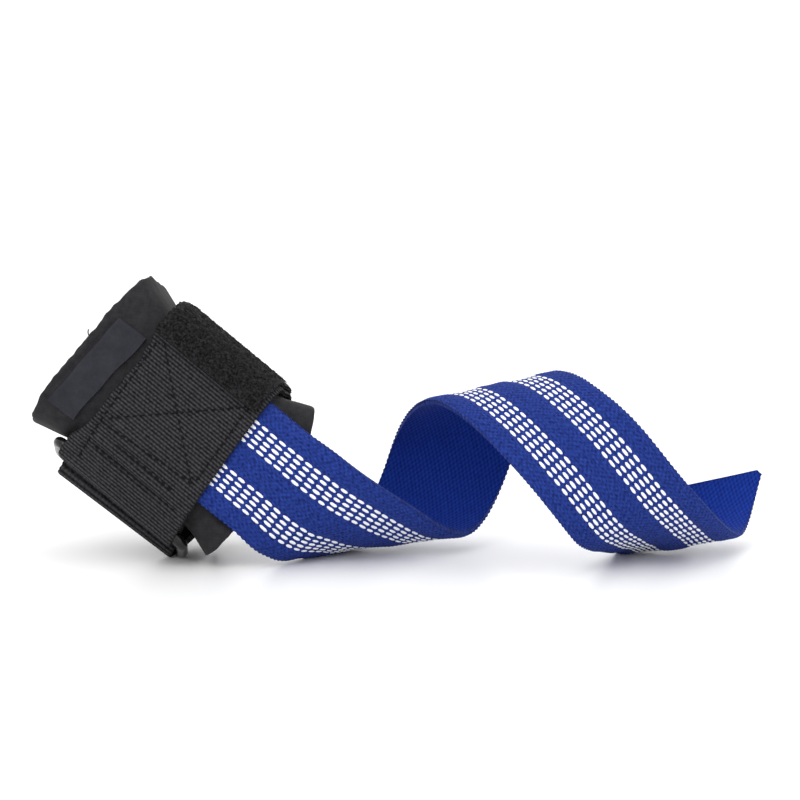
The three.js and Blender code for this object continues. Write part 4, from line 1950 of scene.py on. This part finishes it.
    def _ring(self) -> Object:
        """Round-wire ring, a rectangle with round corners in the plane of its two bars.

        Returns:
            The new piece.
        """
        radius = self.wire / 2
        near, far = np.asarray(self.near_bar), np.asarray(self.far_bar)
        depth = float(np.hypot(*(far - near)))
        way = (far - near) / depth
        left = self.left - self.ring_end_gap - radius
        right = self.right + self.ring_end_gap + radius
        bend = self.ring_bend
        corners = (
            (right - bend, bend, -90), (right - bend, depth - bend, 0),
            (left + bend, depth - bend, 90), (left + bend, bend, 180),
        )
        places = []
        for along, deep, start in corners:
            angle = np.radians(np.linspace(start, start + 90, self.bend_points))
            places.append(np.stack([along + bend * np.cos(angle), deep + bend * np.sin(angle)], -1))
        loop = np.concatenate(places)
        closed = np.concatenate([loop, loop[:1]])
        length = np.concatenate([[0.0], np.cumsum(np.hypot(*np.diff(closed, axis=0).T))])
        at = np.linspace(0.0, length[-1], self.ring_steps + 1)[:-1]
        along, deep = (np.interp(at, length, closed[:, k]) for k in (0, 1))
        up = near[0] + deep * way[0]
        line = CUFF.world(along + CUFF.skew * near[0] - CUFF.skew * up, up, near[1] + deep * way[1])
        ring = MeshMaker.solid("ring_wire", Tubes.closed(line, radius, self.ring_sides))
        dress(ring, "ring_metal", RING_COAT.material())
        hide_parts("cinch_ring")
        return ring


@dataclass(frozen=True)
class SoftLight:
    """One square soft light: its place and size in metres and its power in watts."""

    name: str
    place: Triple
    size: float
    power: float

    def build(self, target: Triple) -> Object:
        """Makes the light.

        Args:
            target: where it is aimed, in metres.

        Returns:
            The new light.
        """
        data = bpy.data.lights.new(self.name, "AREA")
        data.size, data.energy = self.size, self.power
        made = link(self.name, data)
        made.location = self.place
        aim(made, Vector(target) - Vector(self.place))
        return made


@dataclass
class Studio:
    """Camera, pale floor and soft light."""

    elevation: float = 8.5
    target: Triple = (*CUFF.shift[:2], 55.0)
    distance: float = 950.0
    focal_pixels: float = 2897.5
    image_width: float = 800.0
    sensor: float = 36.0
    # nearest and furthest sight and the floor's side, in metres
    clip: Pair = (0.01, 50.0)
    floor_size: float = 6.0
    lights: tuple[SoftLight, ...] = (
        SoftLight("key", (-0.55, -0.9, 1.1), 0.9, 5.5),
        SoftLight("top", (0.2, 0.25, 1.3), 1.2, 4.0),
        SoftLight("fill", (1.0, -0.7, 0.6), 0.9, 1.5),
    )
    # where the lights are aimed, in metres
    light_target: Triple = (0.0, 0.0, 0.04)
    room_colour: tuple[float, float, float, float] = (1.0, 1.0, 1.0, 1.0)
    room_strength: float = 1.12

    def camera(self) -> Object:
        """Makes the camera at the photograph's angle.

        Returns:
            The new camera.
        """
        data = bpy.data.cameras.new("camera")
        data.sensor_width = self.sensor
        data.lens = self.focal_pixels * self.sensor / self.image_width
        data.clip_start, data.clip_end = self.clip
        made = link("camera", data)
        tilt = math.radians(self.elevation)
        back = Vector((0.0, -math.cos(tilt), math.sin(tilt)))
        made.location = Vector(self.target) * MM + back * (self.distance * MM)
        aim(made, -back)
        bpy.context.scene.camera = made
        return made

    def floor(self) -> Object:
        """Makes the plain floor.

        Returns:
            The new floor.
        """
        half = self.floor_size / 2
        corners = [(-half, -half, 0), (half, -half, 0), (half, half, 0), (-half, half, 0)]
        mesh = bpy.data.meshes.new("studio_floor")
        mesh.from_pydata(corners, [], [[0, 1, 2, 3]])
        made = link("studio_floor", mesh)
        mesh.materials.append(FLOOR_COAT.material())
        return made

    def build(self) -> None:
        """Makes the floor, the lights and the white surroundings."""
        self.floor()
        for light in self.lights:
            light.build(self.light_target)
        world = bpy.data.worlds.new("white_room")
        world.use_nodes = True
        room = world.node_tree.nodes["Background"].inputs
        room["Color"].default_value = self.room_colour
        room["Strength"].default_value = self.room_strength
        scene = bpy.context.scene
        scene.world = world
        scene.view_settings.view_transform = "Standard"


def main() -> None:
    """Makes the camera, the pieces and the studio."""
    logging.basicConfig(level=logging.INFO, format="%(name)s: %(message)s")
    studio = Studio()
    studio.camera()
    pieces: list[Object] = []
    for part in (PullStrap(), WristPad(), WristBand()):
        pieces += part.build()
    studio.build()
    LOG.info("%d pieces", len(pieces))


if __name__ == "__main__":
    main()
